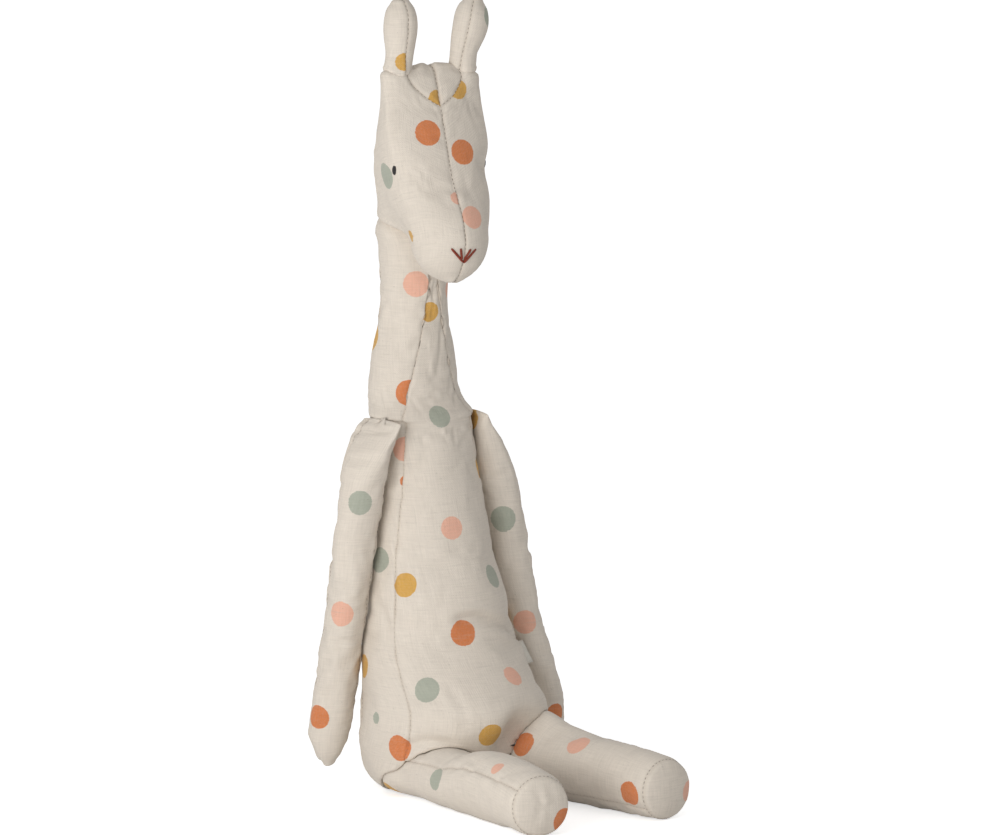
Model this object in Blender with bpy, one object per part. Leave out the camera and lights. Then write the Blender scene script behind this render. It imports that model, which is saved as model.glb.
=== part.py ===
"""Sitting plush giraffe: printed linen panels sewn over firm stuffing.

Metres, +Z up. The giraffe faces -Y and its right side is towards -X. The origin is the middle of the flat
seat that it sits on. Every form is a loft: rows along a spine, columns round it, and each cloth panel is a
patch of that loft with its own thickness, a seam gap away from the next panel.
"""

from math import cos, pi, radians, sin

import bpy
import numpy as np
from mathutils import Vector

# Cloth and seams
CLOTH = 0.0008
SEAM_GAP = 0.0003
SEAT_GAP = 0.0003
WADDING_GAP = 0.0006

# Body, from the seat to the shoulder seam
BODY_HEIGHT = 0.237
BODY_HALF_WIDTH = 0.0575
BELLY_REACH = 0.104
BACK_REACH = 0.027

# Neck, from the shoulder seam to the pivot that the head nods on
NECK_LENGTH = 0.115
NECK_RADIUS = 0.022
NECK_AXIS_Y = 0.0055

# Head, along its own axis from the crown to the tip of the muzzle
HEAD_LENGTH = 0.1395
HEAD_HALF_WIDTH = 0.035
HEAD_FRONT = 0.0235
HEAD_BACK = 0.062
HEAD_RISE = 0.112
HEAD_LEAD = 0.024
HEAD_TILT = radians(14.7)
HEAD_TURN = radians(10.0)

# Ears
EAR_LENGTH = 0.0515
EAR_RADIUS = 0.0105
EAR_BASE_RADIUS = 0.0075
EAR_SPREAD = 0.0215
EAR_LEAD = 0.024
EAR_RISE = 0.1115
EAR_RIGHT_LEAN = radians(2.0)
EAR_LEFT_LEAN = radians(13.0)

# Arms
ARM_DROP = 0.221
ARM_RADIUS = 0.014
ARM_TOP_HALF = 0.0015
SHOULDER_Y = -0.012
ARM_RIGHT_SWING = 0.029
ARM_LEFT_SWING = -0.028
ARM_SLACK = 0.0012

# Legs
LEG_LENGTH = 0.182
LEG_HALF_WIDTH = 0.0235
LEG_HALF_HEIGHT = 0.0215
HIP_RADIUS = 0.0165
HIP_SPREAD = 0.0275
HIP_Y = -0.040
LEG_RIGHT_SPLAY = radians(8.8)
LEG_LEFT_SPLAY = radians(6.0)
HIP_CLEARANCE = 0.0007
SOLE_BULGE = 0.006

# Small trim: the eyes' and the label's places as shares, the eyes' angle from the front in degrees
EYE_PLACE_SHARE = 0.455
EYE_ANGLE = 76.0
EYE_HALF_HEIGHT = 0.0024
EYE_RADIUS = 0.0012
LABEL_HEIGHT_SHARE = 0.352
THREAD_RADIUS = 0.0006
LABEL_HEIGHT = 0.016
LABEL_REACH = 0.008
LABEL_THICKNESS = 0.0009
CUT_OVERRUN = 0.04

# Columns round each form; a stuffing keeps one column in each few
HEAD_COLUMNS = 24
LEG_COLUMNS = 16
ARM_COLUMNS = 12
EAR_COLUMNS = 10
STUFFING_COLUMNS_EACH = 2
BALL_RINGS = 11
BALL_COLUMNS = 24
HIP_STEPS = 10
BEAD_RINGS = 5
BEAD_COLUMNS = 10
THREAD_SIDES = 6
MOUTH_STEPS = 4
# Steps to either side at which a surface's direction is measured, in places and in degrees
PLACE_STEP_SHARE = 0.01
ANGLE_STEP = 2.0
# Above this angle between faces an edge is shaded sharp, and an inset is never stretched beyond this share
SHARP_ANGLE = radians(50.0)
LEAST_INSET_SHARE = 0.6

# Body rows: height, half width, belly reach and back reach, as shares of the body's own sizes
BODY_ROW_SHARES = [
    (0.000, 0.700, 0.660, 0.440),
    (0.021, 0.830, 0.710, 0.700),
    (0.059, 0.930, 0.775, 0.870),
    (0.127, 0.990, 0.880, 0.950),
    (0.198, 1.000, 0.975, 0.970),
    (0.249, 0.980, 0.970, 0.980),
    (0.300, 0.940, 0.860, 0.980),
    (0.371, 0.890, 0.715, 0.980),
    (0.443, 0.838, 0.630, 0.980),
    (0.505, 0.805, 0.615, 0.975),
    (0.561, 0.774, 0.580, 0.970),
    (0.646, 0.722, 0.500, 0.965),
    (0.776, 0.643, 0.423, 0.960),
    (0.878, 0.609, 0.355, 0.965),
    (1.000, 0.597, 0.275, 0.985),
]
# Share of the first body row's size at which the flat seat's inner rings lie
SEAT_RING_SHARES = (0.35, 0.72)

# Neck rows: height as a share of the neck's length; half width, front and back as shares of its radius
NECK_ROW_SHARES = [
    (0.130, 1.430, 1.110, 1.090),
    (0.252, 1.340, 1.045, 1.110),
    (0.383, 1.230, 1.020, 1.090),
    (0.530, 1.070, 1.000, 1.020),
    (0.643, 1.000, 1.000, 1.000),
    (0.850, 1.000, 1.000, 1.000),
    (1.000, 1.000, 1.000, 1.000),
]
# Heights on the round top of the neck, in degrees above the pivot
DOME_ANGLES = (16.0, 32.0, 48.0, 66.0)
DOME_CLOTH_ROWS = 3

# Half angle of the front panel and of the side panels at each of these heights, in degrees from the front.
# The heights are shares of the whole column from the seat to the pivot.
FRONT_SEAM_SHARES = [
    (0.00, 60.0),
    (0.12, 66.0),
    (0.30, 70.0),
    (0.44, 68.0),
    (0.57, 58.0),
    (0.68, 45.0),
    (0.76, 30.0),
    (0.85, 18.0),
    (0.92, 9.0),
    (1.00, 9.0),
]
BACK_SEAM_ANGLE = 124.0
FRONT_COLUMNS = 4
SIDE_COLUMNS = 4
BACK_COLUMNS = 4

# Head rows: place along the axis, half width, front and back, as shares of the head's own sizes
HEAD_ROW_SHARES = [
    (0.022, 0.540, 0.240, 0.230),
    (0.057, 0.790, 0.300, 0.380),
    (0.115, 0.920, 0.350, 0.530),
    (0.200, 0.980, 0.385, 0.680),
    (0.300, 1.000, 0.450, 0.840),
    (0.400, 0.975, 0.510, 0.970),
    (0.500, 0.910, 0.560, 1.040),
    (0.580, 0.865, 0.670, 1.110),
    (0.625, 0.845, 0.770, 1.100),
    (0.660, 0.825, 0.850, 0.930),
    (0.720, 0.780, 0.960, 0.620),
    (0.775, 0.729, 0.995, 0.440),
    (0.845, 0.686, 0.980, 0.390),
    (0.910, 0.586, 0.770, 0.320),
    (0.960, 0.400, 0.470, 0.210),
    (0.990, 0.171, 0.190, 0.090),
]
# How far down the head the crown panels reach, by angle from the front in degrees
CROWN_REACH_SHARES = [
    (0.0, 0.200),
    (15.0, 0.168),
    (30.0, 0.138),
    (60.0, 0.090),
    (110.0, 0.070),
    (180.0, 0.115),
]
CROWN_ROWS = 3
HEAD_BACK_SEAM_ANGLE = 128.0

# Ear rows: place along the ear above its base circle, and the two half widths as shares of the ear's radius
EAR_ROW_SHARES = [
    (0.000, 0.714, 0.714),
    (0.200, 0.830, 0.800),
    (0.450, 0.980, 0.960),
    (0.680, 1.000, 1.000),
    (0.840, 0.860, 0.860),
    (0.945, 0.560, 0.560),
]
EAR_BASE_ANGLES = (66.0, 36.0)

# Arm rows: drop and swing as shares of the arm's own sizes, then half thickness and half width
ARM_ROW_SHARES = [
    (0.040, 0.000, 0.400, 1.260),
    (0.090, 0.020, 0.700, 1.200),
    (0.170, 0.080, 0.920, 1.110),
    (0.290, 0.160, 0.980, 1.040),
    (0.430, 0.250, 0.950, 1.000),
    (0.570, 0.400, 0.930, 0.980),
    (0.710, 0.620, 0.940, 0.990),
    (0.830, 0.820, 0.950, 0.990),
    (0.910, 0.920, 0.860, 0.880),
    (0.960, 0.970, 0.620, 0.640),
    (0.990, 0.995, 0.310, 0.330),
]
ARM_TOP_WIDTH_SHARE = 1.28
# The sewn top edge of an arm: size of each ring as a share, and its rise as a share of the half thickness
ARM_TOP_EDGE_SHARES = ((0.75, 0.55), (1.0, 0.0))
ARM_SLACK_SHARE = 0.12
ARM_CONTACT_STEPS = 9

# Leg rows: place along the leg, half width and half height as shares of the leg's own sizes
LEG_ROW_SHARES = [
    (0.180, 0.960, 0.760),
    (0.300, 1.000, 0.760),
    (0.440, 1.000, 0.765),
    (0.530, 0.990, 0.885),
    (0.620, 0.965, 0.975),
    (0.720, 0.925, 1.000),
    (0.820, 0.910, 0.985),
    (0.900, 0.890, 0.960),
    (0.960, 0.870, 0.935),
    (0.990, 0.840, 0.905),
]
LEG_TOP_ANGLES = (-72.0, -45.0, -15.0, 15.0)
LEG_TOP_WIDTH_SHARES = (0.55, 0.82, 0.93, 0.95)
SOLE_RING_SHARES = (0.66, 0.33)

# Mouth stitches on the muzzle: start and end, each as a place down the head and an angle from the front
MOUTH_STITCH_SHARES = {
    "mouth_stitch_right": ((0.845, -27.0), (0.905, -5.5)),
    "mouth_stitch_middle": ((0.838, -11.0), (0.885, -4.0)),
    "mouth_stitch_left": ((0.845, 19.0), (0.905, 5.5)),
}

# Colours, linear, and how rough each finish is
LINEN = (0.672, 0.604, 0.522)
WADDING = (0.880, 0.870, 0.840)
EYE_THREAD = (0.012, 0.010, 0.010)
MOUTH_THREAD = (0.258, 0.019, 0.006)
TAPE = (0.760, 0.720, 0.640)
LINEN_ROUGHNESS = 0.9
WADDING_ROUGHNESS = 1.0
EYE_ROUGHNESS = 0.5
MOUTH_ROUGHNESS = 0.6
TAPE_ROUGHNESS = 0.85


def unit(vector):
    """The vector at length one."""
    return vector / np.linalg.norm(vector)


def between(table, place):
    """The table's values at a place along its first column, eased from row to row into a curve."""
    table = np.asarray(table, dtype=float)
    places = table[:, 0]
    values = table[:, 1:]
    if place <= places[0]:
        return values[0]
    if place >= places[-1]:
        return values[-1]
    k = int(np.searchsorted(places, place, side="right")) - 1
    before = max(k - 1, 0)
    after = min(k + 2, len(places) - 1)
    span = places[k + 1] - places[k]
    share = (place - places[k]) / span
    slope_in = (values[k + 1] - values[before]) / (places[k + 1] - places[before]) * span
    slope_out = (values[after] - values[k]) / (places[after] - places[k]) * span
    cube = share**3
    square = share**2
    return (
        (2 * cube - 3 * square + 1) * values[k]
        + (cube - 2 * square + share) * slope_in
        + (3 * square - 2 * cube) * values[k + 1]
        + (cube - square) * slope_out
    )


# Forms: each is a grid of points, rows by columns, closed by a pole at both ends

def body_row(height):
    """Half width, front y and back y of the body or neck at a height above the seat."""
    if height <= BODY_HEIGHT:
        width, front, back = between(BODY_ROW_SHARES, height / BODY_HEIGHT)
        return BODY_HALF_WIDTH * width, -BELLY_REACH * front, BACK_REACH * back
    shoulder = BODY_ROW_SHARES[-1]
    seam_row = (
        0.0,
        BODY_HALF_WIDTH * shoulder[1] / NECK_RADIUS,
        (BELLY_REACH * shoulder[2] + NECK_AXIS_Y) / NECK_RADIUS,
        (BACK_REACH * shoulder[3] - NECK_AXIS_Y) / NECK_RADIUS,
    )
    width, front, back = between([seam_row, *NECK_ROW_SHARES], (height - BODY_HEIGHT) / NECK_LENGTH)
    return NECK_RADIUS * width, NECK_AXIS_Y - NECK_RADIUS * front, NECK_AXIS_Y + NECK_RADIUS * back


def body_point(height, angle):
    """A point of the body or neck. The angle is in degrees from the front, positive to the left side."""
    width, front, back = body_row(height)
    middle = (front + back) / 2
    depth = (back - front) / 2
    turn = radians(angle)
    return np.array((width * sin(turn), middle - depth * cos(turn), height))


def body_angles(height):
    """Column angles at a height, so that the seams between the panels run along columns."""
    column_height = BODY_HEIGHT + NECK_LENGTH
    front = float(between(FRONT_SEAM_SHARES, height / column_height)[0])
    left_half = [
        *np.linspace(0, front, FRONT_COLUMNS, endpoint=False),
        *np.linspace(front, BACK_SEAM_ANGLE, SIDE_COLUMNS, endpoint=False),
        *np.linspace(BACK_SEAM_ANGLE, 180, BACK_COLUMNS, endpoint=False),
    ]
    return [*left_half, 180.0, *[360.0 - angle for angle in left_half[:0:-1]]]


def body_grid():
    """Grid, poles and the row of the shoulder seam of the body and neck together."""
    seat = body_row(0.0)
    middle = (seat[1] + seat[2]) / 2
    rows = []
    for share in SEAT_RING_SHARES:
        ring = [body_point(0.0, angle) for angle in body_angles(0.0)]
        centre = np.array((0.0, middle, 0.0))
        rows.append([centre + share * (point - centre) for point in ring])
    heights = [BODY_HEIGHT * row[0] for row in BODY_ROW_SHARES]
    heights += [BODY_HEIGHT + NECK_LENGTH * row[0] for row in NECK_ROW_SHARES]
    for height in heights:
        rows.append([body_point(height, angle) for angle in body_angles(height)])
    pivot_height = BODY_HEIGHT + NECK_LENGTH
    for rise in DOME_ANGLES:
        radius = NECK_RADIUS * cos(radians(rise))
        height = pivot_height + NECK_RADIUS * sin(radians(rise))
        angles = body_angles(pivot_height)
        rows.append(
            [
                np.array((radius * sin(radians(a)), NECK_AXIS_Y - radius * cos(radians(a)), height))
                for a in angles
            ]
        )
    start = np.array((0.0, middle, 0.0))
    end = np.array((0.0, NECK_AXIS_Y, pivot_height + NECK_RADIUS))
    shoulder_row = len(SEAT_RING_SHARES) + len(BODY_ROW_SHARES) - 1
    return np.array(rows), start, end, shoulder_row


def neck_pivot():
    """The point that the head nods about, in the middle of the round top of the neck."""
    return np.array((0.0, NECK_AXIS_Y, BODY_HEIGHT + NECK_LENGTH))


def turned(point):
    """A point of the straight head, turned with it about the neck's axis."""
    pivot = neck_pivot()
    x, y, z = np.asarray(point) - pivot
    c = cos(HEAD_TURN)
    s = sin(HEAD_TURN)
    return pivot + np.array((c * x + s * y, c * y - s * x, z))


def head_point(place, angle):
    """A point of the head. Place runs from 0 at the crown to 1 at the muzzle, the angle from the front."""
    half_width, front, back = between(HEAD_ROW_SHARES, place)
    turn = radians(angle)
    across = HEAD_HALF_WIDTH * half_width * sin(turn)
    ahead = (HEAD_FRONT * front if cos(turn) > 0 else HEAD_BACK * back) * cos(turn)
    along = HEAD_LENGTH * place
    pivot = neck_pivot()
    y = pivot[1] - HEAD_LEAD - along * sin(HEAD_TILT) - ahead * cos(HEAD_TILT)
    z = pivot[2] + HEAD_RISE - along * cos(HEAD_TILT) + ahead * sin(HEAD_TILT)
    return turned((across, y, z))


def head_grid():
    """Grid and poles of the head. Its top rows end at the crown panels' edge, which dips at the front."""
    angles = np.arange(HEAD_COLUMNS) * 360.0 / HEAD_COLUMNS
    first = HEAD_ROW_SHARES[0][0]
    places = [row[0] for row in HEAD_ROW_SHARES if row[0] > CROWN_REACH_SHARES[0][1] + first]
    rows = []
    for i in range(CROWN_ROWS):
        ring = []
        for angle in angles:
            reach = float(between(CROWN_REACH_SHARES, min(angle, 360.0 - angle))[0])
            ring.append(head_point(first + (reach - first) * i / (CROWN_ROWS - 1), angle))
        rows.append(ring)
    blend_place = (CROWN_REACH_SHARES[0][1] + places[0]) / 2
    ring = []
    for angle in angles:
        reach = float(between(CROWN_REACH_SHARES, min(angle, 360.0 - angle))[0])
        ring.append(head_point((reach + blend_place) / 2, angle))
    rows.append(ring)
    for place in places:
        rows.append([head_point(place, angle) for angle in angles])
    start = (head_point(0.0, 0.0) + head_point(0.0, 180.0)) / 2
    lift = HEAD_LENGTH * first
    start = start + np.array((0.0, 0.0, lift / 2))
    end = (head_point(1.0, 0.0) + head_point(1.0, 180.0)) / 2
    return np.array(rows), start, end


def ear_grid(side, lean):
    """Grid, poles and pivot of an ear. Its round base turns about the pivot in a cup of the head."""
    pivot = turned(neck_pivot() + np.array((side * EAR_SPREAD, -EAR_LEAD, EAR_RISE)))
    sideways = turned(neck_pivot() + np.array((1.0, 0.0, 0.0))) - neck_pivot()
    upright = np.array((0.0, 0.0, 1.0))
    up = cos(lean) * upright + side * sin(lean) * sideways
    out = cos(lean) * sideways - side * sin(lean) * upright
    ahead = np.cross(up, out)
    angles = np.arange(EAR_COLUMNS) * 2 * pi / EAR_COLUMNS
    rows = []
    for fall in EAR_BASE_ANGLES:
        radius = EAR_BASE_RADIUS * cos(radians(fall))
        centre = pivot - up * EAR_BASE_RADIUS * sin(radians(fall))
        rows.append([centre + radius * (out * sin(a) - ahead * cos(a)) for a in angles])
    height = EAR_LENGTH - EAR_BASE_RADIUS
    for place, across, deep in EAR_ROW_SHARES:
        centre = pivot + up * height * place
        ring = [out * across * sin(a) - ahead * deep * cos(a) for a in angles]
        rows.append([centre + EAR_RADIUS * offset for offset in ring])
    return np.array(rows), pivot - up * EAR_BASE_RADIUS, pivot + up * height, pivot


def rest_beside_body(y, height, half_width, half_thickness):
    """How far out the middle of an arm's section lies, for its inner side to rest against the body."""
    width, front, back = body_row(height)
    middle = (front + back) / 2
    depth = (back - front) / 2
    reach = 0.0
    for share in np.linspace(-1, 1, ARM_CONTACT_STEPS):
        off_middle = (y + share * half_width - middle) / depth
        body_side = width * max(1 - off_middle**2, 0.0) ** 0.5
        reach = max(reach, body_side + half_thickness * (1 - share**2) ** 0.5)
    return reach


def shoulder_hinge(side):
    """The middle of the seam that an arm hangs from."""
    half_width = ARM_RADIUS * ARM_TOP_WIDTH_SHARE
    out = rest_beside_body(SHOULDER_Y, BODY_HEIGHT, half_width, ARM_TOP_HALF) + SEAT_GAP
    return np.array((side * out, SHOULDER_Y, BODY_HEIGHT))


def arm_grid(side, swing):
    """Grid and poles of an arm, flat where it is sewn in at the shoulder and round at the hand."""
    hinge = shoulder_hinge(side)
    angles = np.arange(ARM_COLUMNS) * 2 * pi / ARM_COLUMNS
    rows = []
    half = ARM_RADIUS * ARM_TOP_WIDTH_SHARE
    for share, rise in ARM_TOP_EDGE_SHARES:
        centre = hinge + np.array((0.0, 0.0, ARM_TOP_HALF * rise))
        rows.append(
            [
                centre + share * np.array((ARM_TOP_HALF * sin(a), -half * cos(a), 0.0))
                for a in angles
            ]
        )
    out = abs(hinge[0])
    for drop, back, thick, wide in ARM_ROW_SHARES:
        y = SHOULDER_Y + swing * back
        height = BODY_HEIGHT - ARM_DROP * drop
        slack = SEAT_GAP + ARM_SLACK * min(drop / ARM_SLACK_SHARE, 1.0)
        rest = rest_beside_body(y, height, ARM_RADIUS * wide, ARM_RADIUS * thick) + slack
        out = max(out, rest)
        centre = np.array((side * out, y, height))
        rows.append(
            [
                centre + np.array((ARM_RADIUS * thick * sin(a), -ARM_RADIUS * wide * cos(a), 0.0))
                for a in angles
            ]
        )
    end = np.array((side * out, SHOULDER_Y + swing, BODY_HEIGHT - ARM_DROP))
    return np.array(rows), hinge + np.array((0.0, 0.0, ARM_TOP_HALF)), end


def hip(side):
    """The middle of the rounded top of a leg, where it swings."""
    return np.array((side * HIP_SPREAD, HIP_Y, HIP_RADIUS))


def leg_axes(side):
    """The directions along a leg, across it and up."""
    splay = LEG_LEFT_SPLAY if side > 0 else LEG_RIGHT_SPLAY
    along = np.array((side * sin(splay), -cos(splay), 0.0))
    up = np.array((0.0, 0.0, 1.0))
    return along, np.cross(up, along) * -1, up


def leg_grid(side):
    """Grid and poles of a leg: a round hip, a thigh that swells, and a flat sole. It lies on the floor."""
    along, across, up = leg_axes(side)
    centre = hip(side)
    angles = np.arange(LEG_COLUMNS) * 2 * pi / LEG_COLUMNS
    rows = []
    for rise, share in zip(LEG_TOP_ANGLES, LEG_TOP_WIDTH_SHARES):
        ahead = HIP_RADIUS * sin(radians(rise))
        tall = HIP_RADIUS * cos(radians(rise))
        if rise > 0:
            tall = HIP_RADIUS
        rows.append(
            [
                centre + along * ahead + across * LEG_HALF_WIDTH * share * sin(a) + up * tall * cos(a)
                for a in angles
            ]
        )
    reach = LEG_LENGTH - HIP_RADIUS
    for place, wide, tall in LEG_ROW_SHARES:
        half_height = LEG_HALF_HEIGHT * tall
        middle = centre + along * (LEG_LENGTH * place - HIP_RADIUS)
        middle[2] = half_height
        half_width = LEG_HALF_WIDTH * wide
        rows.append([middle + across * half_width * sin(a) + up * half_height * cos(a) for a in angles])
    sole_half = LEG_HALF_HEIGHT * LEG_ROW_SHARES[-1][2]
    for share in SOLE_RING_SHARES:
        out = reach + SOLE_BULGE * (1 - share**2)
        middle = centre + along * out
        middle[2] = sole_half
        rows.append(
            [
                middle
                + across * LEG_HALF_WIDTH * LEG_ROW_SHARES[-1][1] * share * sin(a)
                + up * sole_half * share * cos(a)
                for a in angles
            ]
        )
    start = centre - along * HIP_RADIUS
    end = centre + along * (reach + SOLE_BULGE)
    end[2] = sole_half
    return np.array(rows), start, end


# Meshes from grids

def grid_mesh(rows, start, end):
    """Vertices and faces of a closed loft: its rows in order, then the two poles."""
    count, columns = rows.shape[:2]
    points = [*rows.reshape(-1, 3), start, end]
    first_pole = count * columns
    faces = {}
    for j in range(columns):
        right = (j + 1) % columns
        faces[(-1, j)] = (first_pole, right, j)
        for i in range(count - 1):
            a = i * columns
            b = a + columns
            faces[(i, j)] = (a + j, a + right, b + right, b + j)
        last = (count - 1) * columns
        faces[(count - 1, j)] = (last + j, last + right, first_pole + 1)
    return np.array(points), faces


def volume(points, faces):
    """Signed volume of a closed mesh."""
    total = 0.0
    for face in faces:
        for k in range(1, len(face) - 1):
            a, b, c = points[face[0]], points[face[k]], points[face[k + 1]]
            total += float(np.dot(a, np.cross(b, c)))
    return total


def outward(points, faces):
    """The faces, turned so that they all point out."""
    if volume(points, faces.values()) < 0:
        return {key: face[::-1] for key, face in faces.items()}
    return faces


def normals(points, faces):
    """Outward normal at each point, weighted by the area of the faces round it."""
    total = np.zeros_like(points)
    for face in faces.values():
        area = np.zeros(3)
        for k in range(1, len(face) - 1):
            area += np.cross(points[face[k]] - points[face[0]], points[face[k + 1]] - points[face[0]])
        for vertex in face:
            total[vertex] += area
    return total / np.linalg.norm(total, axis=1)[:, None]


def inset(points, faces, depth):
    """The closed loft moved inwards by a depth, measured square to its faces."""
    lean = np.zeros(len(points))
    turn = normals(points, faces)
    for face in faces.values():
        area = np.zeros(3)
        for k in range(1, len(face) - 1):
            area += np.cross(points[face[k]] - points[face[0]], points[face[k + 1]] - points[face[0]])
        flat = unit(area)
        for vertex in face:
            lean[vertex] = max(lean[vertex], 1 - float(np.dot(flat, turn[vertex])))
    return points - turn * (depth / np.clip(1 - lean, LEAST_INSET_SHARE, 1))[:, None]


def add_object(name, points, faces, finish, parent, origin):
    """A named mesh object with its origin at its body's joint."""
    mesh = bpy.data.meshes.new(name)
    local = [Vector(point) - Vector(origin) for point in points]
    mesh.from_pydata(local, [], [tuple(int(v) for v in face) for face in faces])
    mesh.update()
    mesh.shade_smooth()
    mesh.set_sharp_from_angle(angle=SHARP_ANGLE)
    mesh.materials.append(finish)
    thing = bpy.data.objects.new(name, mesh)
    bpy.context.scene.collection.objects.link(thing)
    thing.parent = parent
    return thing


def panel(name, points, faces, cells, body):
    """One cloth panel: cells of a loft, given the cloth's thickness and drawn back from their seams."""
    inner = inset(points, faces, CLOTH)
    used = sorted({vertex for cell in cells for vertex in faces[cell]})
    place = {vertex: k for k, vertex in enumerate(used)}
    edges = {}
    for cell in cells:
        face = faces[cell]
        for a, b in zip(face, face[1:] + face[:1]):
            edges[(a, b)] = cell
    rim = [edge for edge in edges if edge[::-1] not in edges]
    drawn = {vertex: np.zeros(3) for edge in rim for vertex in edge}
    for a, b in rim:
        middle = points[list(faces[edges[(a, b)]])].mean(axis=0)
        run = unit(points[b] - points[a])
        inwards = middle - points[a]
        inwards = unit(inwards - run * np.dot(inwards, run))
        drawn[a] = drawn[a] + inwards
        drawn[b] = drawn[b] + inwards
    outer_points = points.copy()
    inner_points = inner.copy()
    for vertex, push in drawn.items():
        shift = unit(push) * SEAM_GAP / 2
        outer_points[vertex] = outer_points[vertex] + shift
        inner_points[vertex] = inner_points[vertex] + shift
    solid = [outer_points[vertex] for vertex in used] + [inner_points[vertex] for vertex in used]
    count = len(used)
    walls = [(place[b], place[a], place[a] + count, place[b] + count) for a, b in rim]
    skin = [tuple(place[v] for v in faces[cell]) for cell in cells]
    lining = [tuple(place[v] + count for v in faces[cell][::-1]) for cell in cells]
    return add_object(name, solid, skin + lining + walls, body["linen"], body["empty"], body["origin"])


def stuffing(name, rows, start, end, body, depth):
    """The firm wadding inside a loft, a little plainer than the cloth over it."""
    points, faces = grid_mesh(rows, start, end)
    faces = outward(points, faces)
    small = inset(points, faces, depth)
    count, columns = rows.shape[:2]
    plain = small[: count * columns].reshape(count, columns, 3)[:, ::STUFFING_COLUMNS_EACH]
    points, faces = grid_mesh(plain, small[-2], small[-1])
    faces = outward(points, faces)
    return add_object(name, points, faces.values(), body["wadding"], body["empty"], body["origin"])


# Cutters, which take away what a moving form needs

def hide_cutter(cutter):
    """Marks an object as a cutter, which is no piece of the giraffe."""
    cutter.hide_render = True
    cutter.display_type = "WIRE"


def ball_cutter(name, centre, radius):
    """A round cutter about a pivot, whose flats lie no nearer than the radius."""
    centre = np.asarray(centre)
    flats = cos(pi / 2 / (BALL_RINGS + 1)) * cos(pi / BALL_COLUMNS)
    radius = radius / flats
    rows = [
        [
            centre + radius * np.array((sin(fall) * cos(turn), sin(fall) * sin(turn), cos(fall)))
            for turn in np.arange(BALL_COLUMNS) * 2 * pi / BALL_COLUMNS
        ]
        for fall in np.linspace(pi, 0, BALL_RINGS + 2)[1:-1]
    ]
    up = np.array((0.0, 0.0, radius))
    points, faces = grid_mesh(np.array(rows), centre - up, centre + up)
    faces = outward(points, faces)
    cutter = add_object(name, points, faces.values(), materials["wadding"], None, (0.0, 0.0, 0.0))
    hide_cutter(cutter)
    return cutter


def hip_cutter(name, side):
    """The room that a leg swings in: round behind the hip, and open ahead of it and below."""
    along, across, up = leg_axes(side)
    centre = hip(side)
    radius = HIP_RADIUS + HIP_CLEARANCE
    outline = [(-radius * sin(turn), radius * cos(turn)) for turn in np.linspace(0, pi / 2, HIP_STEPS + 1)]
    far = LEG_LENGTH + CUT_OVERRUN
    outline += [(-radius, -HIP_RADIUS - CUT_OVERRUN), (far, -HIP_RADIUS - CUT_OVERRUN), (far, radius)]
    reach_in = HIP_SPREAD + LEG_HALF_WIDTH / 2
    reach_out = BODY_HALF_WIDTH + CUT_OVERRUN
    outer = across if np.dot(across, (side, 0, 0)) > 0 else -across
    near = [centre - outer * reach_in + along * a + up * b for a, b in outline]
    away = [centre + outer * reach_out + along * a + up * b for a, b in outline]
    count = len(outline)
    points = np.array(near + away)
    faces = {0: tuple(range(count)), 1: tuple(range(2 * count - 1, count - 1, -1))}
    for k in range(count):
        n = (k + 1) % count
        faces[k + 2] = (n, k, k + count, n + count)
    faces = outward(points, faces)
    cutter = add_object(name, points, faces.values(), materials["wadding"], None, (0.0, 0.0, 0.0))
    hide_cutter(cutter)
    return cutter


def cut(thing, cutter):
    """Takes the cutter's room out of an object."""
    modifier = thing.modifiers.new("room", "BOOLEAN")
    modifier.operation = "DIFFERENCE"
    modifier.solver = "EXACT"
    modifier.object = cutter


# Small trim

def bead(name, centre, along, out, body, finish):
    """An oval knot of thread that lies on the cloth, longest in one direction."""
    across = np.cross(along, out)
    rows = []
    for fall in np.linspace(pi, 0, BEAD_RINGS + 2)[1:-1]:
        middle = centre + along * EYE_HALF_HEIGHT * cos(fall)
        turns = np.arange(BEAD_COLUMNS) * 2 * pi / BEAD_COLUMNS
        rows.append([middle + EYE_RADIUS * sin(fall) * (across * cos(t) + out * sin(t)) for t in turns])
    start = centre - along * EYE_HALF_HEIGHT
    end = centre + along * EYE_HALF_HEIGHT
    points, faces = grid_mesh(np.array(rows), start, end)
    faces = outward(points, faces)
    return add_object(name, points, faces.values(), finish, body["empty"], body["origin"])


def surface_normal(surface, place, angle):
    """Outward direction of a form's surface at a place and angle."""
    down = surface(place + PLACE_STEP_SHARE, angle) - surface(place - PLACE_STEP_SHARE, angle)
    round_it = surface(place, angle + ANGLE_STEP) - surface(place, angle - ANGLE_STEP)
    return unit(np.cross(down, round_it))


def strand(points, normal_at):
    """Vertices and faces of a length of thread laid on the cloth."""
    rows = []
    for k, point in enumerate(points):
        run = unit(points[min(k + 1, len(points) - 1)] - points[max(k - 1, 0)])
        out = unit(normal_at[k] - run * np.dot(normal_at[k], run))
        across = np.cross(run, out)
        turns = np.arange(THREAD_SIDES) * 2 * pi / THREAD_SIDES
        rows.append([point + THREAD_RADIUS * (across * cos(t) + out * sin(t)) for t in turns])
    run_in = unit(points[1] - points[0]) * THREAD_RADIUS / 2
    run_out = unit(points[-1] - points[-2]) * THREAD_RADIUS / 2
    points, faces = grid_mesh(np.array(rows), points[0] - run_in, points[-1] + run_out)
    return points, list(outward(points, faces).values())


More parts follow.
